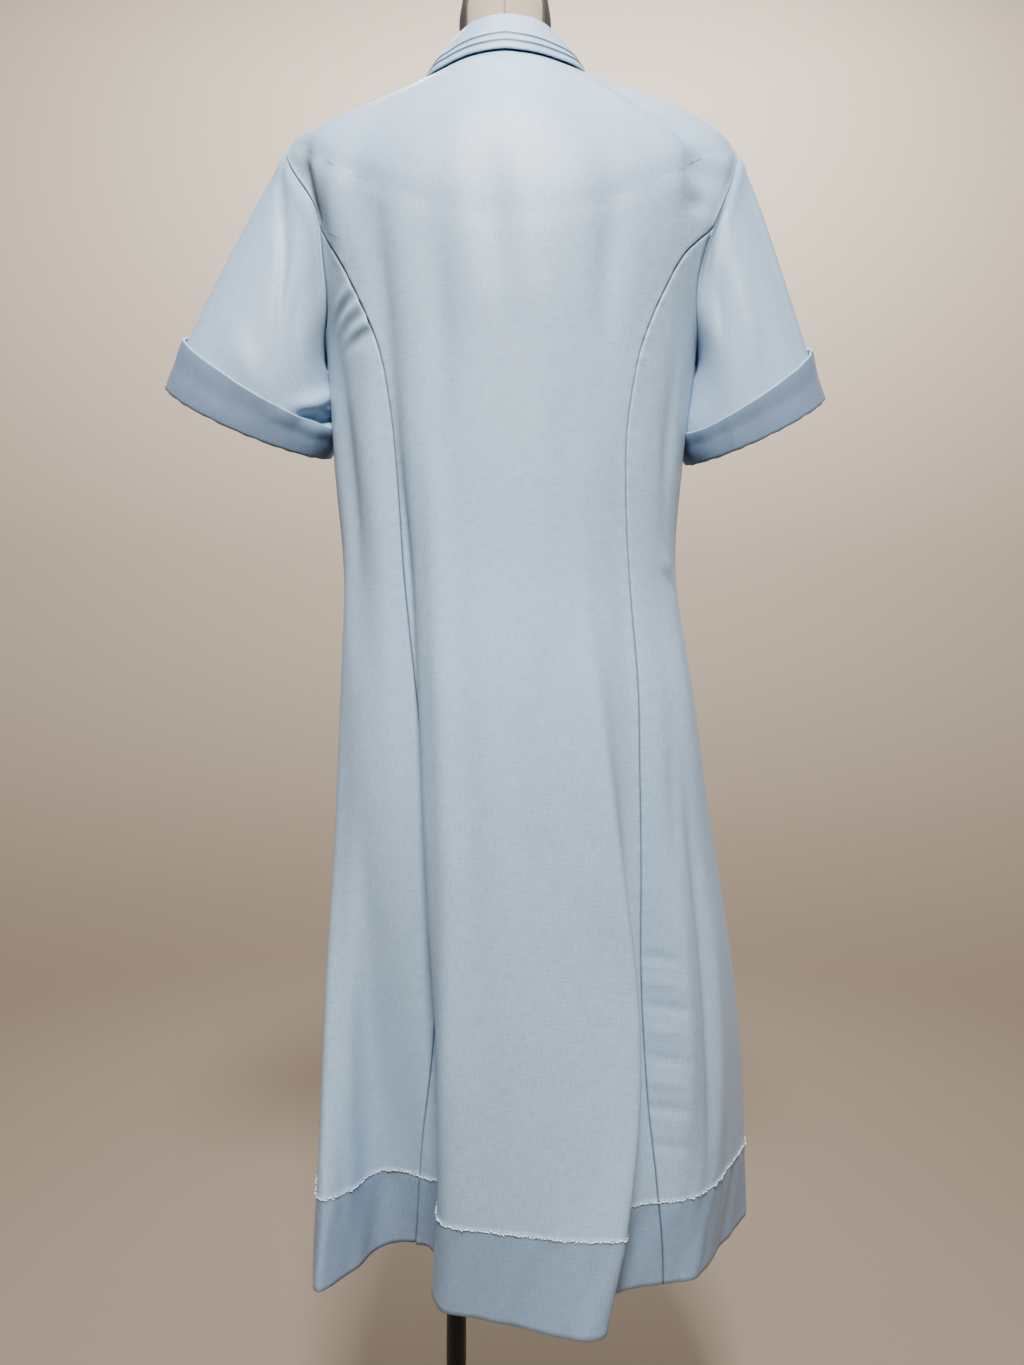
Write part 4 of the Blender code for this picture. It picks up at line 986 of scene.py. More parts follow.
cuff_row_count = np.count_nonzero(sleeve_shares >= CUFF_START) + 6
cuff_shares = np.concatenate([
    CUFF_START + (1.0 - CUFF_START) * CUFF_RIM_ROWS,
    np.linspace(CUFF_START, 1.0, cuff_row_count)[2:],
])
for cut in SLEEVES:
    grid = sleeves[cut.word]
    band = np.stack([
        np.stack([np.interp(cuff_shares, sleeve_shares, part) for part in grid[:, column].T], axis=-1)
        for column in range(grid.shape[1])
    ], axis=1)
    square = ring_normals(band, cut.side)
    down = unit(np.gradient(band, axis=0))
    rise = (1.0 - cuff_shares) / (1.0 - CUFF_START)
    wave = CUFF_WAVE * uneven(np.radians(sleeve_turns) * 0.07, 0.026, 1.9 + cut.side)
    stand = CUFF_STAND * ease((rise - 0.5) / 0.5)[:, None] + wave[None, :] * (0.4 + 0.6 * rise)[:, None]
    fold_wave = 1.0 + 0.5 * uneven(sleeve_turns * 0.0012, 0.019, 0.6)
    fold = CUFF_FOLD * ease((0.06 - rise) / 0.06)[:, None] * fold_wave
    stand = np.maximum(stand, -0.0001)
    inside = band + square * (GAP + stand)[..., None] + down * fold[..., None]
    outside = inside + square * CUFF_WALL
    # Painted shade over the turned-up cuff, left off its upper rim, which stays pale like a lit edge.
    doubled = ease((1.0 - rise) / CUFF_RIM)[:, None] + 0.0 * stand
    piece = shell("cuff_%s_cloth" % cut.word, outside, inside, ring=True, doubled=doubled)
    declare_cloth(piece, "cuff_" + cut.word)

# Collar: doubled cloth sewn round the neckline. It stands up, turns over at the roll line
# and lies on the shoulders, with two pin tucks beside its free edge.
COLLAR_WALL = 0.0016
COLLAR_END_ANGLE = 173.0
ROLL_WIDTH = 0.005
COLLAR_FOOT_ROOM = 0.0008
COLLAR_LAP_ROOM = 0.0014
COLLAR_CROWN = 0.0012
COLLAR_ROOM = 0.0026
ROLL_DROP = 0.001
ROLL_CROWN = 0.0025
TUCKS = (0.0080, 0.0160)
TUCK_HEIGHT = 0.0008
TUCK_WIDTH = 0.0040
TUCK_SHADE = 0.0016
COLLAR_COLUMNS = 240

CollarRow = namedtuple("CollarRow", "angle stand lean fall spread")
COLLAR = [
    CollarRow(0, 0.029, 0.005, 0.072, 0.0),
    CollarRow(25, 0.030, 0.007, 0.10, 0.0),
    CollarRow(45, 0.030, 0.009, 0.14, 0.0),
    CollarRow(90, 0.029, 0.013, 0.13, 0.0),
    CollarRow(130, 0.019, 0.007, 0.26, -6.0),
    CollarRow(160, 0.010, 0.002, 0.55, -14.0),
    CollarRow(173, 0.006, 0.000, 0.72, -24.0),
]


def collar_lines(angle):
    """The middle of the collar's cloth: up the stand, over the roll and down the fall."""
    away, side = np.abs(angle), np.where(angle >= 0.0, 1.0, -1.0)
    foot = neck_point(angle)
    radial = unit((foot - NECK_CENTRE) * np.array([1.0, 1.0, 0.0]))
    stand, lean, reach = (along(COLLAR, "angle", word, away) for word in ("stand", "lean", "fall"))
    edge_angle = side * (away + along(COLLAR, "angle", "spread", away))
    up = np.array([0.0, 0.0, 1.0])
    room = COLLAR_FOOT_ROOM + COLLAR_LAP_ROOM * ease((away - 135.0) / 30.0)
    foot = foot - radial * WALL / 2.0 + up * room[:, None]
    roll = foot - radial * lean[:, None] + up * stand[:, None]
    over = roll + radial * ROLL_WIDTH - up * ROLL_DROP
    top = (roll + over) / 2.0 + up * ROLL_CROWN

    def lying(share):
        level = SHOULDER_HEIGHT + 1.0 - reach * share
        turn = angle + (edge_angle - angle) * share
        facing = cloth_normal(cloth_point, level, turn)
        return cloth_point(level, turn) + facing * COLLAR_ROOM, facing

    edge = lying(1.0)[0]
    fall = []
    for share in (0.3, 0.65):
        rest, facing = lying(share)
        straight = over + (edge - over) * share + facing * COLLAR_CROWN
        too_low = np.maximum(0.0, ((rest - straight) * facing).sum(-1, keepdims=True))
        fall.append(straight + facing * too_low)
    return np.stack([foot, (foot + roll) / 2.0, roll, top, over] + fall + [edge])


def smooth_line(points, steps):
    """A finer line through every point of each column of a grid."""
    padded = np.concatenate([2 * points[:1] - points[1:2], points, 2 * points[-1:] - points[-2:-1]])
    fine = []
    for row in range(len(points) - 1):
        for step in range(steps):
            t = step / steps
            leave = (padded[row + 2] - padded[row]) / 2.0
            arrive = (padded[row + 3] - padded[row + 1]) / 2.0
            fine.append(hermite(t, padded[row + 1], leave, padded[row + 2], arrive))
    fine.append(points[-1])
    return np.stack(fine)


def placed_from_edge(lines, spots):
    """Points of each column at the given distances from its last point."""
    steps = np.linalg.norm(np.diff(lines[::-1], axis=0), axis=-1)
    reach = np.concatenate([np.zeros((1, lines.shape[1])), np.cumsum(steps, axis=0)])
    placed = np.empty((len(spots), lines.shape[1], 3))
    for column in range(lines.shape[1]):
        want = np.minimum(spots[:, column], reach[-1, column])
        for part in range(3):
            placed[:, column, part] = np.interp(want, reach[:, column], lines[::-1, column, part])
    return placed, reach[-1]


collar_angles = np.linspace(-COLLAR_END_ANGLE, COLLAR_END_ANGLE, COLLAR_COLUMNS)
collar_curve = smooth_line(collar_lines(collar_angles), 10)
near_edge = np.concatenate([
    np.linspace(0.0, TUCKS[0] - 0.0012, 5),
    TUCKS[0] + np.array([-0.0008, -0.0004, 0.0, 0.0003, 0.0012, 0.0026, 0.0040]),
    TUCKS[1] + np.array([-0.0024, -0.0008, -0.0004, 0.0, 0.0003, 0.0012, 0.0026, 0.0040]),
])
full = np.linalg.norm(np.diff(collar_curve, axis=0), axis=-1).sum(axis=0)
rest_shares = np.linspace(0.0, 1.0, 22)[1:]
spots = np.concatenate([
    np.repeat(near_edge[:, None], COLLAR_COLUMNS, axis=1),
    near_edge[-1] + (full - near_edge[-1])[None, :] * rest_shares[:, None],
])
collar_grid, full = placed_from_edge(collar_curve, spots)
collar_grid = collar_grid[::-1]
spots = spots[::-1]
collar_facing = unit(np.cross(np.gradient(collar_grid, axis=1), np.gradient(collar_grid, axis=0)))
tuck_lift = np.zeros(spots.shape)
tuck_painted_shadow = np.zeros(spots.shape)
for tuck in TUCKS:
    above = spots - tuck
    tuck_lift += np.where(above >= 0.0, TUCK_HEIGHT * np.clip(1.0 - above / TUCK_WIDTH, 0.0, 1.0), 0.0)
    # Painted shadow: a thin dark band just below each tuck's edge.
    tuck_painted_shadow = np.maximum(tuck_painted_shadow, np.where((above < 0.0001) & (above > -TUCK_SHADE), 1.0, 0.0))
collar_outer = collar_grid + collar_facing * (COLLAR_WALL / 2.0 + tuck_lift)[..., None]
collar_inner = collar_grid - collar_facing * COLLAR_WALL / 2.0
collar = shell("collar_cloth", collar_outer, collar_inner, marks=tuck_painted_shadow)
declare_cloth(collar, "collar")

# Dress form: a limbless padded torso covered in beige cloth, seamed down the centre back,
# with dark side panels and dark piping at the neck. The dress hides all but the neck.
FORM_BOTTOM = 0.760
NECK_TOP = 1.520
COLLAR_DEPTH = 0.014
FORM_COLUMNS = 144
FORM_YOKE_ROW = 90
BAND_ANGLE = 52.0
FORM_PALE = (0.50, 0.42, 0.33)
FORM_DEEP = (0.36, 0.29, 0.22)
BAND_GREY = (0.035, 0.032, 0.030)

FormRoom = namedtuple("FormRoom", "height room")
FORM_ROOM = [
    FormRoom(0.760, 0.030),
    FormRoom(0.860, 0.018),
    FormRoom(0.980, 0.024),
    FormRoom(1.100, 0.016),
    FormRoom(1.200, 0.014),
    FormRoom(1.300, 0.012),
    FormRoom(1.371, 0.010),
    FormRoom(1.771, 0.0085),
    FormRoom(2.071, 0.0042),
    FormRoom(2.371, 0.0028),
]
NeckRing = namedtuple("NeckRing", "height half_width back front")
FORM_NECK = [
    NeckRing(1.456, 0.0425, 0.0440, 0.040),
    NeckRing(1.475, 0.0425, 0.0430, 0.040),
    NeckRing(1.490, 0.0424, 0.0425, 0.040),
    NeckRing(1.505, 0.0402, 0.0415, 0.040),
    NeckRing(1.520, 0.0380, 0.0400, 0.040),
]


def make_form_cloth():
    finish, tree, shader = start_material(
        "form_cloth", roughness=0.90, specular_ior_level=0.1, sheen_weight=0.04, sheen_roughness=0.6,
    )
    cut = new_node(tree, "ShaderNodeUVMap", settings={"uv_map": "cut"})
    weave = new_node(tree, "ShaderNodeGroup", settings={"node_tree": weave_group}, inputs={
        "Place": cut.outputs["UV"], "Thread Pitch": 0.0008, "Slub": 0.9,
        "Pale": (*FORM_PALE, 1.0), "Deep": (*FORM_DEEP, 1.0),
    })
    seam = new_node(tree, "ShaderNodeAttribute", settings={"attribute_name": "seam"})
    color = mixed(tree, seam.outputs["Fac"], weave.outputs["Color"], BAND_GREY)
    link(tree, color, shader.inputs["Base Color"])
    add_bump(tree, shader, weave.outputs["Height"], 0.5, 0.0002)
    return finish


form_finish = make_form_cloth()


def form_point(level, angle):
    level, angle = np.broadcast_arrays(np.asarray(level, float), np.asarray(angle, float))
    room = along(FORM_ROOM, "height", "room", level)[..., None]
    point = plain_point(level, angle)
    give = np.minimum(0.0, crease_lift(CREASES, angle, point[..., 2]))[..., None]
    return point - cloth_normal(plain_point, level, angle) * room + crease_way(level, point) * give


def neck_ring(row, angle):
    turn = np.radians(angle)
    deep = np.where(np.cos(turn) >= 0.0, row.back, row.front)
    x = NECK_CENTRE[0] + row.half_width * np.sin(turn)
    y = NECK_CENTRE[1] + deep * np.cos(turn)
    return np.stack([x, y, row.height + 0.0 * angle], axis=-1)


def closed_lathe(name, rings, finish, marks=None):
    """A closed body through rings of points, with flat ends and its cutting map."""
    rows, columns = rings.shape[:2]
    flat = flat_places(rings, ring=True)
    index = np.arange(rows * columns).reshape(rows, columns)
    faces, corners = [], []
    for row in range(rows - 1):
        for column in range(columns):
            beside = (column + 1) % columns
            faces.append([int(index[row, column]), int(index[row, beside]),
                          int(index[row + 1, beside]), int(index[row + 1, column])])
            corners += [flat[row, column], flat[row, column + 1]]
            corners += [flat[row + 1, column + 1], flat[row + 1, column]]
    for row in (0, rows - 1):
        middle = rings[row].mean(axis=0)
        faces.append([int(point) for point in index[row]])
        corners += [rings[row, column, :2] - middle[:2] for column in range(columns)]
    mesh = bpy.data.meshes.new(name)
    mesh.from_pydata(rings.reshape(-1, 3).tolist(), [], faces)
    layer = mesh.uv_layers.new(name="cut")
    layer.data.foreach_set("uv", np.array(corners, dtype=np.float32).ravel())
    shade = np.zeros((rows, columns)) if marks is None else marks
    seam = mesh.attributes.new("seam", "FLOAT", "POINT")
    seam.data.foreach_set("value", shade.astype(np.float32).ravel())
    work = bmesh.new()
    work.from_mesh(mesh)
    bmesh.ops.recalc_face_normals(work, faces=work.faces)
    work.to_mesh(mesh)
    work.free()
    mesh.shade_smooth()
    mesh.set_sharp_from_angle(angle=math.radians(50))
    mesh.materials.append(finish)
    piece = bpy.data.objects.new(name, mesh)
    bpy.context.collection.objects.link(piece)
    return piece


form_angles = np.linspace(0.0, FULL_TURN, FORM_COLUMNS, endpoint=False)
form_levels = np.concatenate([
    np.linspace(FORM_BOTTOM, CHEST_HEIGHT, 40),
    np.linspace(CHEST_HEIGHT, SHOULDER_HEIGHT, 24)[1:],
    SHOULDER_HEIGHT + np.linspace(0.0, 0.93, 30)[1:],
])
form_rings = form_point(form_levels[:, None], form_angles[None, :])
form_rings[0, :, 2] = FORM_BOTTOM
neck_foot = neck_point(form_angles)
inward = unit((NECK_CENTRE - neck_foot) * np.array([1.0, 1.0, 0.0]))
neck_rings = np.stack([form_rings[-1], neck_foot + inward * COLLAR_DEPTH]
                      + [neck_ring(row, form_angles) for row in FORM_NECK])
form_rings = np.concatenate([form_rings[:-1], smooth_line(neck_rings, 8)])
half_angle = (form_angles + 180.0) % FULL_TURN - 180.0
away = np.abs(half_angle)
band = ease(away - BAND_ANGLE) * ease(180.0 - BAND_ANGLE - away)
past_yoke = (np.arange(len(form_rings)) > FORM_YOKE_ROW)[:, None]
on_neck = (form_rings[..., 2] > NECK_SIDE_HEIGHT - NECK_DIP_FRONT) & past_yoke
centre_seam = np.exp(-((half_angle / 1.2) ** 2)) * 0.55
form_marks = np.where(on_neck, np.maximum(band[None, :], centre_seam[None, :]), centre_seam[None, :])
form = closed_lathe("form_cover", form_rings, form_finish, marks=form_marks)
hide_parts("form_torso")
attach(form, "root")

# Piping: a dark corded edge runs up each side of the form's neck, between the beige cloth
# and the dark side panel.
PIPING_RADIUS = 0.0009
PIPING_LEAN = 5.0


def make_felt(name, color):
    finish, tree, shader = start_material(name, roughness=0.9, specular_ior_level=0.2, sheen_weight=0.2)
    place = new_node(tree, "ShaderNodeTexCoord").outputs["Object"]
    grain = noise(tree, place, 900.0, 3.0)
    brighter = tuple(part * 1.5 + 0.01 for part in color)
    link(tree, mixed(tree, grain, color, brighter), shader.inputs["Base Color"])
    add_bump(tree, shader, grain, 0.3, 0.0002)
    return finish


piping_finish = make_felt("dark_piping", (0.03, 0.028, 0.027))


def tube_piece(name, points, radius, sides, finish):
    """A closed round cord along a line of points."""
    points = np.asarray(points)
    run = unit(np.gradient(points, axis=0))
    across = unit(np.cross(run, np.array([0.0, 0.0, 1.0]) + 0.01 * np.array([1.0, 1.0, 0.0])))
    beside = np.cross(run, across)
    turns = np.linspace(0.0, 2.0 * math.pi, sides, endpoint=False)
    rings = np.stack([
        points + (across * math.cos(turn) + beside * math.sin(turn)) * radius for turn in turns
    ], axis=1)
    return closed_lathe(name, rings, finish)


neck_profile = smooth_line(np.stack([neck_ring(row, form_angles) for row in FORM_NECK]), 8)
for word, side in (("left", 1), ("right", -1)):
    line = []
    for row, ring in enumerate(neck_profile):
        share = row / (len(neck_profile) - 1)
        angle = side * (BAND_ANGLE + PIPING_LEAN * (1.0 - share)) % FULL_TURN
        line.append(ring[round(angle / FULL_TURN * FORM_COLUMNS) % FORM_COLUMNS])
    piping = tube_piece("neck_piping_" + word, line, PIPING_RADIUS, 10, piping_finish)
    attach(piping, "root")

# Stand: a turned cap closes the neck. Below the form a socket takes the steel pole, which
# stands in a heavy round base. All of it is painted satin black, with fine dust.
POLE_X = 0.048
POLE_Y = 0.0
CAP_RADIUS = 0.030
CAP_THICKNESS = 0.014
SOCKET_RADIUS = 0.016
SOCKET_HEIGHT = 0.030
POLE_RADIUS = 0.0095
BASE_RADIUS = 0.170
BASE_THICKNESS = 0.014
PAINT_BLACK = (0.007, 0.007, 0.008)
PAINT_DUST = (0.024, 0.023, 0.022)


def make_dust_group():
    """Paint with a little dust: a colour and a roughness that change over the surface."""
    tree = bpy.data.node_groups.new("dusty_paint", "ShaderNodeTree")
    tree.interface.new_socket("Place", in_out="INPUT", socket_type="NodeSocketVector")
    tree.interface.new_socket("Paint", in_out="INPUT", socket_type="NodeSocketColor")
    tree.interface.new_socket("Dust", in_out="INPUT", socket_type="NodeSocketColor")
    rough = tree.interface.new_socket("Base Roughness", in_out="INPUT", socket_type="NodeSocketFloat")
    rough.default_value = 0.35
    tree.interface.new_socket("Color", in_out="OUTPUT", socket_type="NodeSocketColor")
    tree.interface.new_socket("Roughness", in_out="OUTPUT", socket_type="NodeSocketFloat")
    tree.interface.new_socket("Height", in_out="OUTPUT", socket_type="NodeSocketFloat")
    given = tree.nodes.new("NodeGroupInput")
    cloud = noise(tree, given.outputs["Place"], 18.0, 4.0)
    speck = noise(tree, given.outputs["Place"], 700.0, 2.0)
    amount = maths(tree, "MULTIPLY", maths(tree, "MULTIPLY", cloud, speck), 1.1)
    result = tree.nodes.new("NodeGroupOutput")
    link(tree, mixed(tree, amount, given.outputs["Paint"], given.outputs["Dust"]), result.inputs["Color"])
    rough_out = maths(tree, "MULTIPLY_ADD", amount, 0.35, given.outputs["Base Roughness"])
    link(tree, rough_out, result.inputs["Roughness"])
    link(tree, speck, result.inputs["Height"])
    return tree


dust_group = make_dust_group()


def make_paint(name, roughness):
    finish, tree, shader = start_material(name, specular_ior_level=0.3)
    place = new_node(tree, "ShaderNodeTexCoord").outputs["Object"]
    paint = new_node(tree, "ShaderNodeGroup", settings={"node_tree": dust_group}, inputs={
        "Place": place, "Paint": (*PAINT_BLACK, 1.0), "Dust": (*PAINT_DUST, 1.0),
        "Base Roughness": roughness,
    })
    link(tree, paint.outputs["Color"], shader.inputs["Base Color"])
    link(tree, paint.outputs["Roughness"], shader.inputs["Roughness"])
    add_bump(tree, shader, paint.outputs["Height"], 0.1, 0.0001)
    return finish


stand_paint = make_paint("satin_black_paint", 0.32)
cap_plastic = make_paint("black_cap_plastic", 0.48)


def turned(name, centre, profile, sides, finish):
    """A turned piece: rings of (radius, height) round an upright axis."""
    turns = np.linspace(0.0, 2.0 * math.pi, sides, endpoint=False)
    rings = np.stack([
        np.stack([centre[0] + radius * np.cos(turns), centre[1] + radius * np.sin(turns),
                  height + 0.0 * turns], axis=-1)
        for radius, height in profile
    ])
    return closed_lathe(name, rings, finish)


def round_edge(radius, low, high, bevel, steps=5):
    """Profile of a plate with rounded rims."""
    profile = []
    for step in range(steps + 1):
        turn = math.pi / 2 * step / steps
        profile.append((radius - bevel + bevel * math.sin(turn), low + bevel - bevel * math.cos(turn)))
    for step in range(steps + 1):
        turn = math.pi / 2 * step / steps
        profile.append((radius - bevel + bevel * math.cos(turn), high - bevel + bevel * math.sin(turn)))
    return profile


def stand_piece(name, node, centre, profile, sides, finish):
    piece = turned(name, centre, profile, sides, finish)
    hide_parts(node)
    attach(piece, "root")


cap_low = NECK_TOP + GAP
cap_profile = round_edge(CAP_RADIUS, cap_low, cap_low + CAP_THICKNESS * 0.75, 0.0025)
cap_profile += [(CAP_RADIUS * 0.62, cap_low + CAP_THICKNESS * 0.86)]
cap_profile += [(CAP_RADIUS * 0.30, cap_low + CAP_THICKNESS)]
stand_piece("neck_cap", "form_neck_cap", NECK_CENTRE, cap_profile, 72, cap_plastic)
socket_top = FORM_BOTTOM - GAP
socket_low = socket_top - SOCKET_HEIGHT
socket_profile = round_edge(SOCKET_RADIUS * 0.86, socket_low, socket_top - 0.007, 0.0015)
socket_profile += round_edge(SOCKET_RADIUS, socket_top - 0.0065, socket_top, 0.0015)
stand_piece("pole_socket", "form_socket", (POLE_X, POLE_Y), socket_profile, 64, stand_paint)
pole_profile = round_edge(POLE_RADIUS, BASE_THICKNESS + GAP, socket_low - GAP, 0.0008)
stand_piece("steel_pole", "pole", (POLE_X, POLE_Y), pole_profile, 64, stand_paint)
base_profile = round_edge(BASE_RADIUS, 0.0, BASE_THICKNESS * 0.72, 0.004)
base_profile += [(BASE_RADIUS * 0.90, BASE_THICKNESS * 0.80), (BASE_RADIUS * 0.20, BASE_THICKNESS * 0.97)]
base_profile += [(BASE_RADIUS * 0.12, BASE_THICKNESS)]
stand_piece("round_base", "base", (POLE_X, POLE_Y), base_profile, 160, stand_paint)

# Buttons: pale blue moulded discs with a rim and four sewn holes, down the centre of the
# right front. Geometry Nodes place one moulded button at each seat.
BUTTON_COUNT = 8
BUTTON_RADIUS = 0.0075
BUTTON_THICKNESS = 0.003
BUTTON_TOP = 1.300
BUTTON_BOTTOM = 0.560
BUTTON_SEAT = WALL + 0.0008
HOLE_RADIUS = 0.0009
HOLE_OFFSET = 0.0016
CAD_SKIRT_ROWS = 17
CAD_RISE_SHARES = (0.35, 0.65, 0.88, 1.0)


def make_button_finish():
    finish, tree, shader = start_material(
        "button_plastic", roughness=0.28, specular_ior_level=0.5, coat_weight=0.25, coat_roughness=0.15,
    )
    place = new_node(tree, "ShaderNodeTexCoord").outputs["Object"]
    swirl = noise(tree, place, 260.0, 3.0)
    link(tree, mixed(tree, swirl, (0.42, 0.52, 0.60), (0.56, 0.65, 0.72)), shader.inputs["Base Color"])
    add_bump(tree, shader, swirl, 0.05, 0.0001)
    return finish


button_finish = make_button_finish()
thread_finish = make_felt("sewing_thread", (0.62, 0.70, 0.76))


def make_button_mould():
    """One button about the origin, facing +Z, with its four holes cut."""
    profile = [
        (0.0046, 0.0), (0.0070, 0.0004), (BUTTON_RADIUS, 0.0013), (BUTTON_RADIUS, 0.0020),
        (0.0071, 0.0027), (0.0064, BUTTON_THICKNESS), (0.0058, 0.0027), (0.0052, 0.0022), (0.0020, 0.0021),
    ]
    body = turned("button_mould", (0.0, 0.0), profile, 40, button_finish)
    drill = []
    for quarter in range(4):
        turn = math.pi / 4 + quarter * math.pi / 2
        spot = (HOLE_OFFSET * math.cos(turn), HOLE_OFFSET * math.sin(turn))
        bore = [(HOLE_RADIUS, -0.001), (HOLE_RADIUS, 0.005)]
        drill.append(turned("hole", spot, bore, 12, button_finish))
    for hole in drill:
        cut_hole = body.modifiers.new("cut", "BOOLEAN")
        cut_hole.object = hole
        cut_hole.operation = "DIFFERENCE"
    made = bpy.data.meshes.new_from_object(body.evaluated_get(bpy.context.evaluated_depsgraph_get()))
    body.modifiers.clear()
    body.data = made
    for hole in drill:
        bpy.data.objects.remove(hole, do_unlink=True)
    return body


def new_tree(name, sockets):
    """A Geometry Nodes tree with a geometry in and out and the named inputs."""
    tree = bpy.data.node_groups.new(name, "GeometryNodeTree")
    tree.interface.new_socket("Geometry", in_out="INPUT", socket_type="NodeSocketGeometry")
    for word, kind in sockets:
        tree.interface.new_socket(word, in_out="INPUT", socket_type=kind)
    tree.interface.new_socket("Geometry", in_out="OUTPUT", socket_type="NodeSocketGeometry")
    return tree


def applied(name, mesh, tree, values):
    """Runs a tree on a mesh and gives its result as a plain mesh object."""
    host = bpy.data.objects.new(name, mesh)
    bpy.context.collection.objects.link(host)
    maker = host.modifiers.new("maker", "NODES")
    maker.node_group = tree
    sockets = {item.name: item.identifier for item in tree.interface.items_tree if item.in_out == "INPUT"}
    for word, value in values.items():
        maker[sockets[word]] = value
    made = bpy.data.meshes.new_from_object(host.evaluated_get(bpy.context.evaluated_depsgraph_get()))
    host.modifiers.clear()
    host.data = made
    made.shade_smooth()
    return host


def make_placing_tree():
    """Copies of an object at points, each turned to face its point's facing vector."""
    tree = new_tree("placed_buttons", [("Mould", "NodeSocketObject"), ("Finish", "NodeSocketMaterial")])
    given, result = tree.nodes.new("NodeGroupInput"), tree.nodes.new("NodeGroupOutput")
    mould = new_node(tree, "GeometryNodeObjectInfo", inputs={"Object": given.outputs["Mould"]})
    facing = new_node(tree, "GeometryNodeInputNamedAttribute", settings={"data_type": "FLOAT_VECTOR"},
                      inputs={"Name": "facing"})
    turn = new_node(tree, "FunctionNodeAlignRotationToVector", settings={"axis": "Z"},
                    inputs={"Vector": facing.outputs["Attribute"]})
    placed = new_node(tree, "GeometryNodeInstanceOnPoints", inputs={
        "Points": given.outputs["Geometry"], "Instance": mould.outputs["Geometry"],
        "Rotation": turn.outputs["Rotation"],
    })
    solid = new_node(tree, "GeometryNodeRealizeInstances", inputs={"Geometry": placed.outputs["Instances"]})
    painted = new_node(tree, "GeometryNodeSetMaterial", inputs={
        "Geometry": solid.outputs["Geometry"], "Material": given.outputs["Finish"],
    })
    link(tree, painted.outputs["Geometry"], result.inputs["Geometry"])
    return tree


cad_levels = [HEM_LINE + 0.001 + (CHEST_HEIGHT - HEM_LINE - 0.001) * row / CAD_SKIRT_ROWS
              for row in range(CAD_SKIRT_ROWS + 1)]
cad_levels += [CHEST_HEIGHT + (JUNCTION_HEIGHT - CHEST_HEIGHT) * share for share in CAD_RISE_SHARES]
button_levels = []
for number in range(BUTTON_COUNT):
    wanted = BUTTON_TOP + (BUTTON_BOTTOM - BUTTON_TOP) * number / (BUTTON_COUNT - 1)
    button_levels.append(min(cad_levels, key=lambda row: abs(row - wanted)))
button_levels = np.array(button_levels)
button_facing = cloth_normal(cloth_point, button_levels, np.full(BUTTON_COUNT, 180.0))
button_seats = cloth_point(button_levels, 180.0) + button_facing * BUTTON_SEAT
seat_mesh = bpy.data.meshes.new("button_seats")
seat_mesh.from_pydata(button_seats.tolist(), [], [])
facing_layer = seat_mesh.attributes.new("facing", "FLOAT_VECTOR", "POINT")
facing_layer.data.foreach_set("vector", button_facing.astype(np.float32).ravel())
mould = make_button_mould()
buttons = applied("buttons", seat_mesh, make_placing_tree(), {"Mould": mould, "Finish": button_finish})
bpy.data.objects.remove(mould, do_unlink=True)
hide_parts(*["button_%d" % (number + 1) for number in range(BUTTON_COUNT)])
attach(buttons, "root")

# Sewing: thread lies in short stitches along a path. The hem is caught from inside and shows
# as a puckered pale line: partly thread, partly a painted highlight for the lit ridge. Buttonholes and
# buttons are sewn with the same thread.
HEM_STITCH = 0.0034
HEM_STITCH_LENGTH = 0.0038
HEM_THREAD = 0.0010
HEM_STITCH_WANDER = 0.0012


def make_stitch_tree():
    """Stitches of one length along every path, each turned a little at random."""
    tree = new_tree("stitches", [
        ("Pitch", "NodeSocketFloat"), ("Stitch Length", "NodeSocketFloat"),
        ("Thread Width", "NodeSocketFloat"), ("Stray Turn", "NodeSocketFloat"),
        ("Thread", "NodeSocketMaterial"),
    ])
    given, result = tree.nodes.new("NodeGroupInput"), tree.nodes.new("NodeGroupOutput")
    path = new_node(tree, "GeometryNodeMeshToCurve", inputs={"Mesh": given.outputs["Geometry"]})
    spots = new_node(tree, "GeometryNodeResampleCurve", settings={"mode": "LENGTH"},
                     inputs={"Curve": path.outputs["Curve"], "Length": given.outputs["Pitch"]})
    tangent = new_node(tree, "GeometryNodeInputTangent")
    turn = new_node(tree, "FunctionNodeAlignRotationToVector", settings={"axis": "Z"},
                    inputs={"Vector": tangent.outputs["Tangent"]})
    stray = new_node(tree, "FunctionNodeRandomValue", settings={"data_type": "FLOAT_VECTOR"},
                     inputs={"Min": (-1.0, -1.0, 0.0), "Max": (1.0, 1.0, 0.0), "Seed": 7})
    stray_turn = new_node(tree, "ShaderNodeVectorMath", settings={"operation": "SCALE"},
                          inputs={0: stray.outputs["Value"], "Scale": given.outputs["Stray Turn"]})
    tilted = new_node(tree, "FunctionNodeRotateRotation", settings={"rotation_space": "LOCAL"},
                      inputs={"Rotation": turn.outputs["Rotation"],
                              "Rotate By": stray_turn.outputs["Vector"]})
    bead = new_node(tree, "GeometryNodeMeshUVSphere", inputs={"Segments": 6, "Rings": 5, "Radius": 0.5})
    size = new_node(tree, "ShaderNodeCombineXYZ", inputs={
        "X": given.outputs["Thread Width"], "Y": given.outputs["Thread Width"],
        "Z": given.outputs["Stitch Length"],
    })
    placed = new_node(tree, "GeometryNodeInstanceOnPoints", inputs={
        "Points": spots.outputs["Curve"], "Instance": bead.outputs["Mesh"],
        "Rotation": tilted.outputs["Rotation"], "Scale": size.outputs["Vector"],
    })
    solid = new_node(tree, "GeometryNodeRealizeInstances", inputs={"Geometry": placed.outputs["Instances"]})
    painted = new_node(tree, "GeometryNodeSetMaterial", inputs={
        "Geometry": solid.outputs["Geometry"], "Material": given.outputs["Thread"],
    })
    link(tree, painted.outputs["Geometry"], result.inputs["Geometry"])
    return tree


stitch_tree = make_stitch_tree()


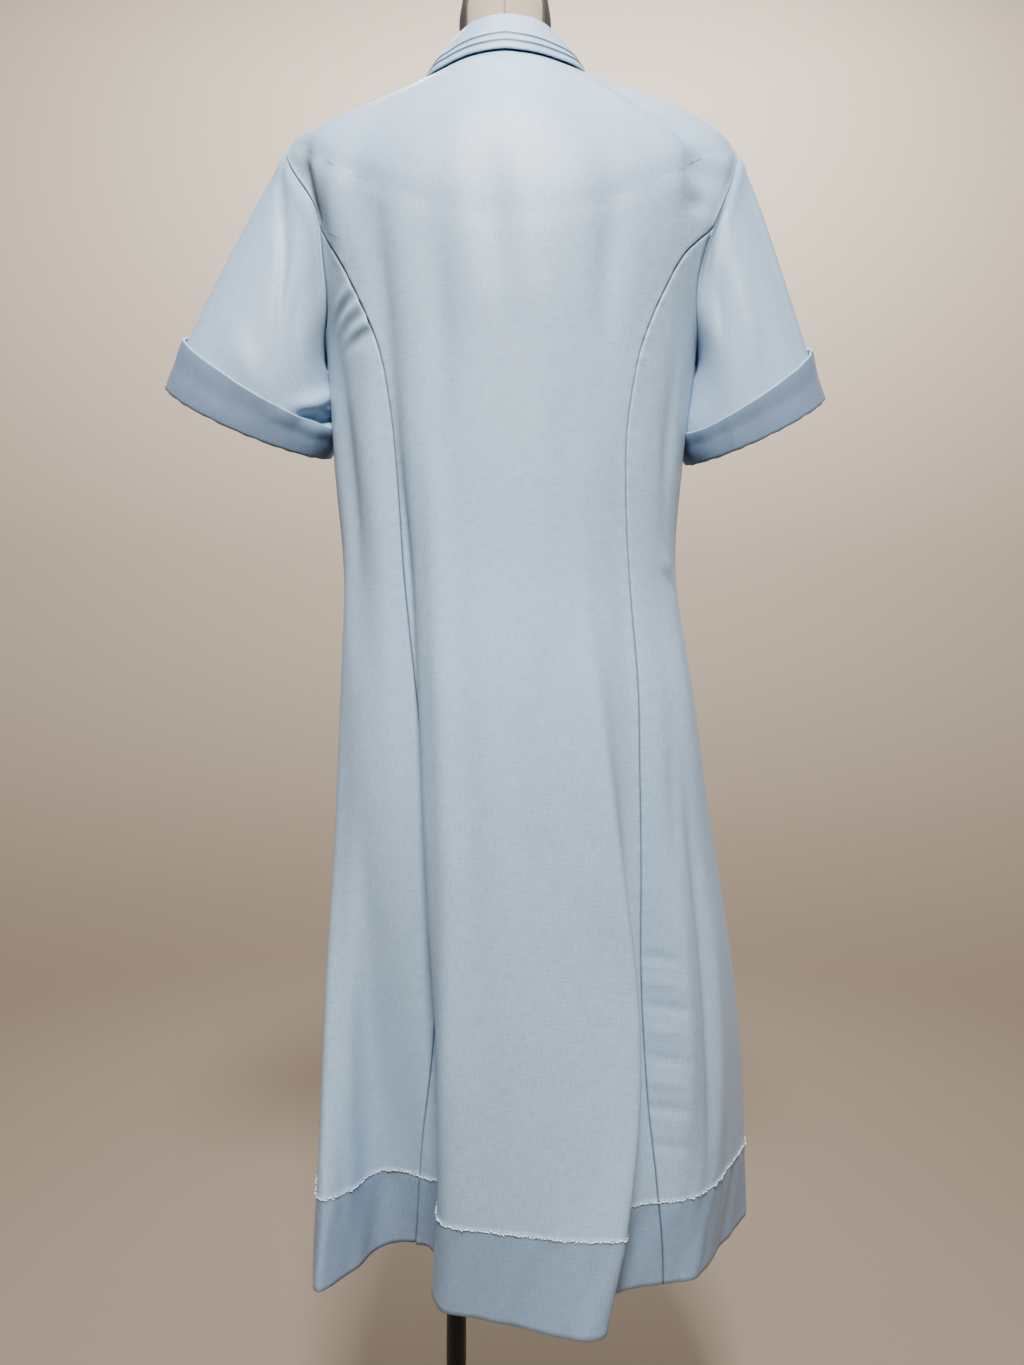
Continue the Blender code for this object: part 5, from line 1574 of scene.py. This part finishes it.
def stitches(name, paths, pitch, length, width, stray):
    """Thread along lines of points, as one plain mesh that rides with the dress."""
    points, edges = [], []
    for path in paths:
        first = len(points)
        points += [tuple(point) for point in path]
        edges += [(first + step, first + step + 1) for step in range(len(path) - 1)]
    mesh = bpy.data.meshes.new(name)
    mesh.from_pydata(points, edges, [])
    piece = applied(name, mesh, stitch_tree, {
        "Pitch": pitch, "Stitch Length": length, "Thread Width": width, "Stray Turn": stray,
        "Thread": thread_finish,
    })
    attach(piece, "root")


hem_row = int(np.argmin(np.abs(SKIRT_LEVELS - HEM_LINE)))
hem_paths = []
for made in [(back, back_grid, back_normals)] + list(side_panels.values()) + [fronts["right"]]:
    line = made[1][hem_row] + made[2][hem_row] * 0.0002
    line[:, 2] += HEM_STITCH_WANDER * uneven(np.arange(len(line)) * PITCH, 0.0095, 0.8)
    hem_paths.append(line[2:-2])
# Pale thread along the hem line: partly the hem's stitching, partly a painted highlight for the lit ridge.
stitches("hem_stitches", hem_paths, HEM_STITCH, HEM_STITCH_LENGTH, HEM_THREAD, 0.80)

BUTTONHOLE_LENGTH = 0.019
BUTTONHOLE_WIDTH = 0.0024
hole_paths, sewn_paths = [], []
for level, seat, facing in zip(button_levels, button_seats, button_facing):
    up = unit(cloth_point(level + 0.004, 180.0) - cloth_point(level - 0.004, 180.0))
    across = np.cross(facing, up)
    turns = np.linspace(0.0, 2.0 * math.pi, 41)[:, None]
    oval = across * np.cos(turns) * BUTTONHOLE_LENGTH / 2 + up * np.sin(turns) * BUTTONHOLE_WIDTH / 2
    middle = seat - facing * (BUTTON_SEAT - WALL - GAP - 0.0003) + across * 0.0015
    hole_paths.append(middle + oval)
    for corner in (1.0, -1.0):
        start = seat + facing * 0.0023 + (across + up * corner) * HOLE_OFFSET * 0.7
        finish_at = seat + facing * 0.0023 - (across + up * corner) * HOLE_OFFSET * 0.7
        sewn_paths.append(np.linspace(start, finish_at, 5))
stitches("buttonhole_stitches", hole_paths, 0.0007, 0.0009, 0.0006, 0.5)
stitches("button_thread", sewn_paths, 0.0006, 0.0011, 0.0005, 0.1)

# Studio: the camera stands where the photograph was taken, behind the dress. A round pale
# sweep is floor and wall, and soft lamps light the back from above.
CAMERA_PLACE = (-0.0025, 0.989, 0.906)
CAMERA_PITCH = 1.6
CAMERA_ROLL = 0.3
FOCAL_PIXELS = 1042.0
FRAME_HEIGHT = 1365.0
SENSOR = 36.0
SWEEP_RADIUS = 3.4
SWEEP_CURVE = 1.3
SWEEP_TOP = 5.0
SWEEP_SIDES = 96
FLOOR_COLOR = (0.21, 0.172, 0.136)
WALL_COLOR = (0.90, 0.80, 0.70)
WALL_TOP = 3.2
LAMP_SPREAD = 130.0

camera_data = bpy.data.cameras.new("camera")
camera_data.sensor_fit = "AUTO"
camera_data.sensor_width = SENSOR
camera_data.lens = SENSOR * FOCAL_PIXELS / FRAME_HEIGHT
camera_data.clip_start = 0.05
camera = bpy.data.objects.new("camera", camera_data)
bpy.context.collection.objects.link(camera)
camera.location = CAMERA_PLACE
look = Vector((0.0, -math.cos(math.radians(CAMERA_PITCH)), -math.sin(math.radians(CAMERA_PITCH))))
camera.rotation_euler = look.to_track_quat("-Z", "Y").to_euler()
camera.rotation_euler.rotate_axis("Z", math.radians(CAMERA_ROLL))
bpy.context.scene.camera = camera


def make_paper():
    """The sweep's paper: brown on the floor, growing paler up the wall to WALL_TOP; the darker lower wall is
    painted shade.
    """
    finish, tree, shader = start_material("studio_paper", roughness=0.9, specular_ior_level=0.1)
    place = new_node(tree, "ShaderNodeTexCoord").outputs["Object"]
    height = new_node(tree, "ShaderNodeSeparateXYZ", inputs={0: place}).outputs["Z"]
    share = new_node(tree, "ShaderNodeClamp", inputs={0: maths(tree, "DIVIDE", height, WALL_TOP)})
    # Painted shade: the colour darkens from the wall down to the floor.
    color = mixed(tree, share.outputs[0], FLOOR_COLOR, WALL_COLOR)
    link(tree, color, shader.inputs["Base Color"])
    return finish


sweep_profile = [(0.02, 0.0), (SWEEP_RADIUS - SWEEP_CURVE, 0.0)]
for step in range(1, 13):
    turn = math.pi / 2 * step / 12
    sweep_profile.append((SWEEP_RADIUS - SWEEP_CURVE + SWEEP_CURVE * math.sin(turn),
                          SWEEP_CURVE - SWEEP_CURVE * math.cos(turn)))
sweep_profile.append((SWEEP_RADIUS, SWEEP_TOP))
sweep_mesh = bpy.data.meshes.new("studio_sweep")
sweep_turns = [2.0 * math.pi * step / SWEEP_SIDES for step in range(SWEEP_SIDES)]
sweep_points = [(radius * math.cos(turn), radius * math.sin(turn), height - 0.0005)
                for radius, height in sweep_profile for turn in sweep_turns]
sweep_faces = [list(range(SWEEP_SIDES))]
for ring in range(len(sweep_profile) - 1):
    low, high = ring * SWEEP_SIDES, (ring + 1) * SWEEP_SIDES
    for step in range(SWEEP_SIDES):
        beside = (step + 1) % SWEEP_SIDES
        sweep_faces.append([low + step, low + beside, high + beside, high + step])
sweep_mesh.from_pydata(sweep_points, [], sweep_faces)
sweep_mesh.shade_smooth()
sweep_mesh.materials.append(make_paper())
sweep = bpy.data.objects.new("studio_sweep", sweep_mesh)
bpy.context.collection.objects.link(sweep)

WARM_LIGHT = (1.0, 0.965, 0.92)
COOL_LIGHT = (0.90, 0.95, 1.0)
WALL_LIGHT = (1.0, 0.93, 0.84)

Lamp = namedtuple("Lamp", "name x y z aim_y aim_z size power color")
LAMPS = [
    Lamp("back_key", -0.05, 1.55, 2.70, 0.0, 0.86, 0.4, 76.0, WARM_LIGHT),
    Lamp("front_key", 0.2, -1.55, 2.70, 0.0, 1.00, 0.5, 20.0, WARM_LIGHT),
    Lamp("overhead", 0.0, 0.35, 3.2, 0.0, 0.0, 0.9, 16.0, COOL_LIGHT),
    Lamp("overhead_front", 0.0, -0.45, 3.2, 0.0, 0.0, 0.9, 10.0, COOL_LIGHT),
    Lamp("wall_wash", -0.3, -1.3, 3.6, -3.6, 1.3, 1.8, 88.0, WALL_LIGHT),
]
for lamp in LAMPS:
    light = bpy.data.lights.new(lamp.name, "AREA")
    light.shape = "SQUARE"
    light.size = lamp.size
    light.energy = lamp.power
    light.spread = math.radians(LAMP_SPREAD)
    light.color = lamp.color
    holder = bpy.data.objects.new(lamp.name, light)
    bpy.context.collection.objects.link(holder)
    holder.location = (lamp.x, lamp.y, lamp.z)
    aim = Vector((0.0, lamp.aim_y, lamp.aim_z)) - holder.location
    holder.rotation_euler = aim.to_track_quat("-Z", "Y").to_euler()
    holder.visible_camera = False

world = bpy.data.worlds.new("studio_air")
world.use_nodes = True
world.node_tree.nodes["Background"].inputs["Color"].default_value = (0.78, 0.88, 1.0, 1.0)
world.node_tree.nodes["Background"].inputs["Strength"].default_value = 0.02
bpy.context.scene.world = world
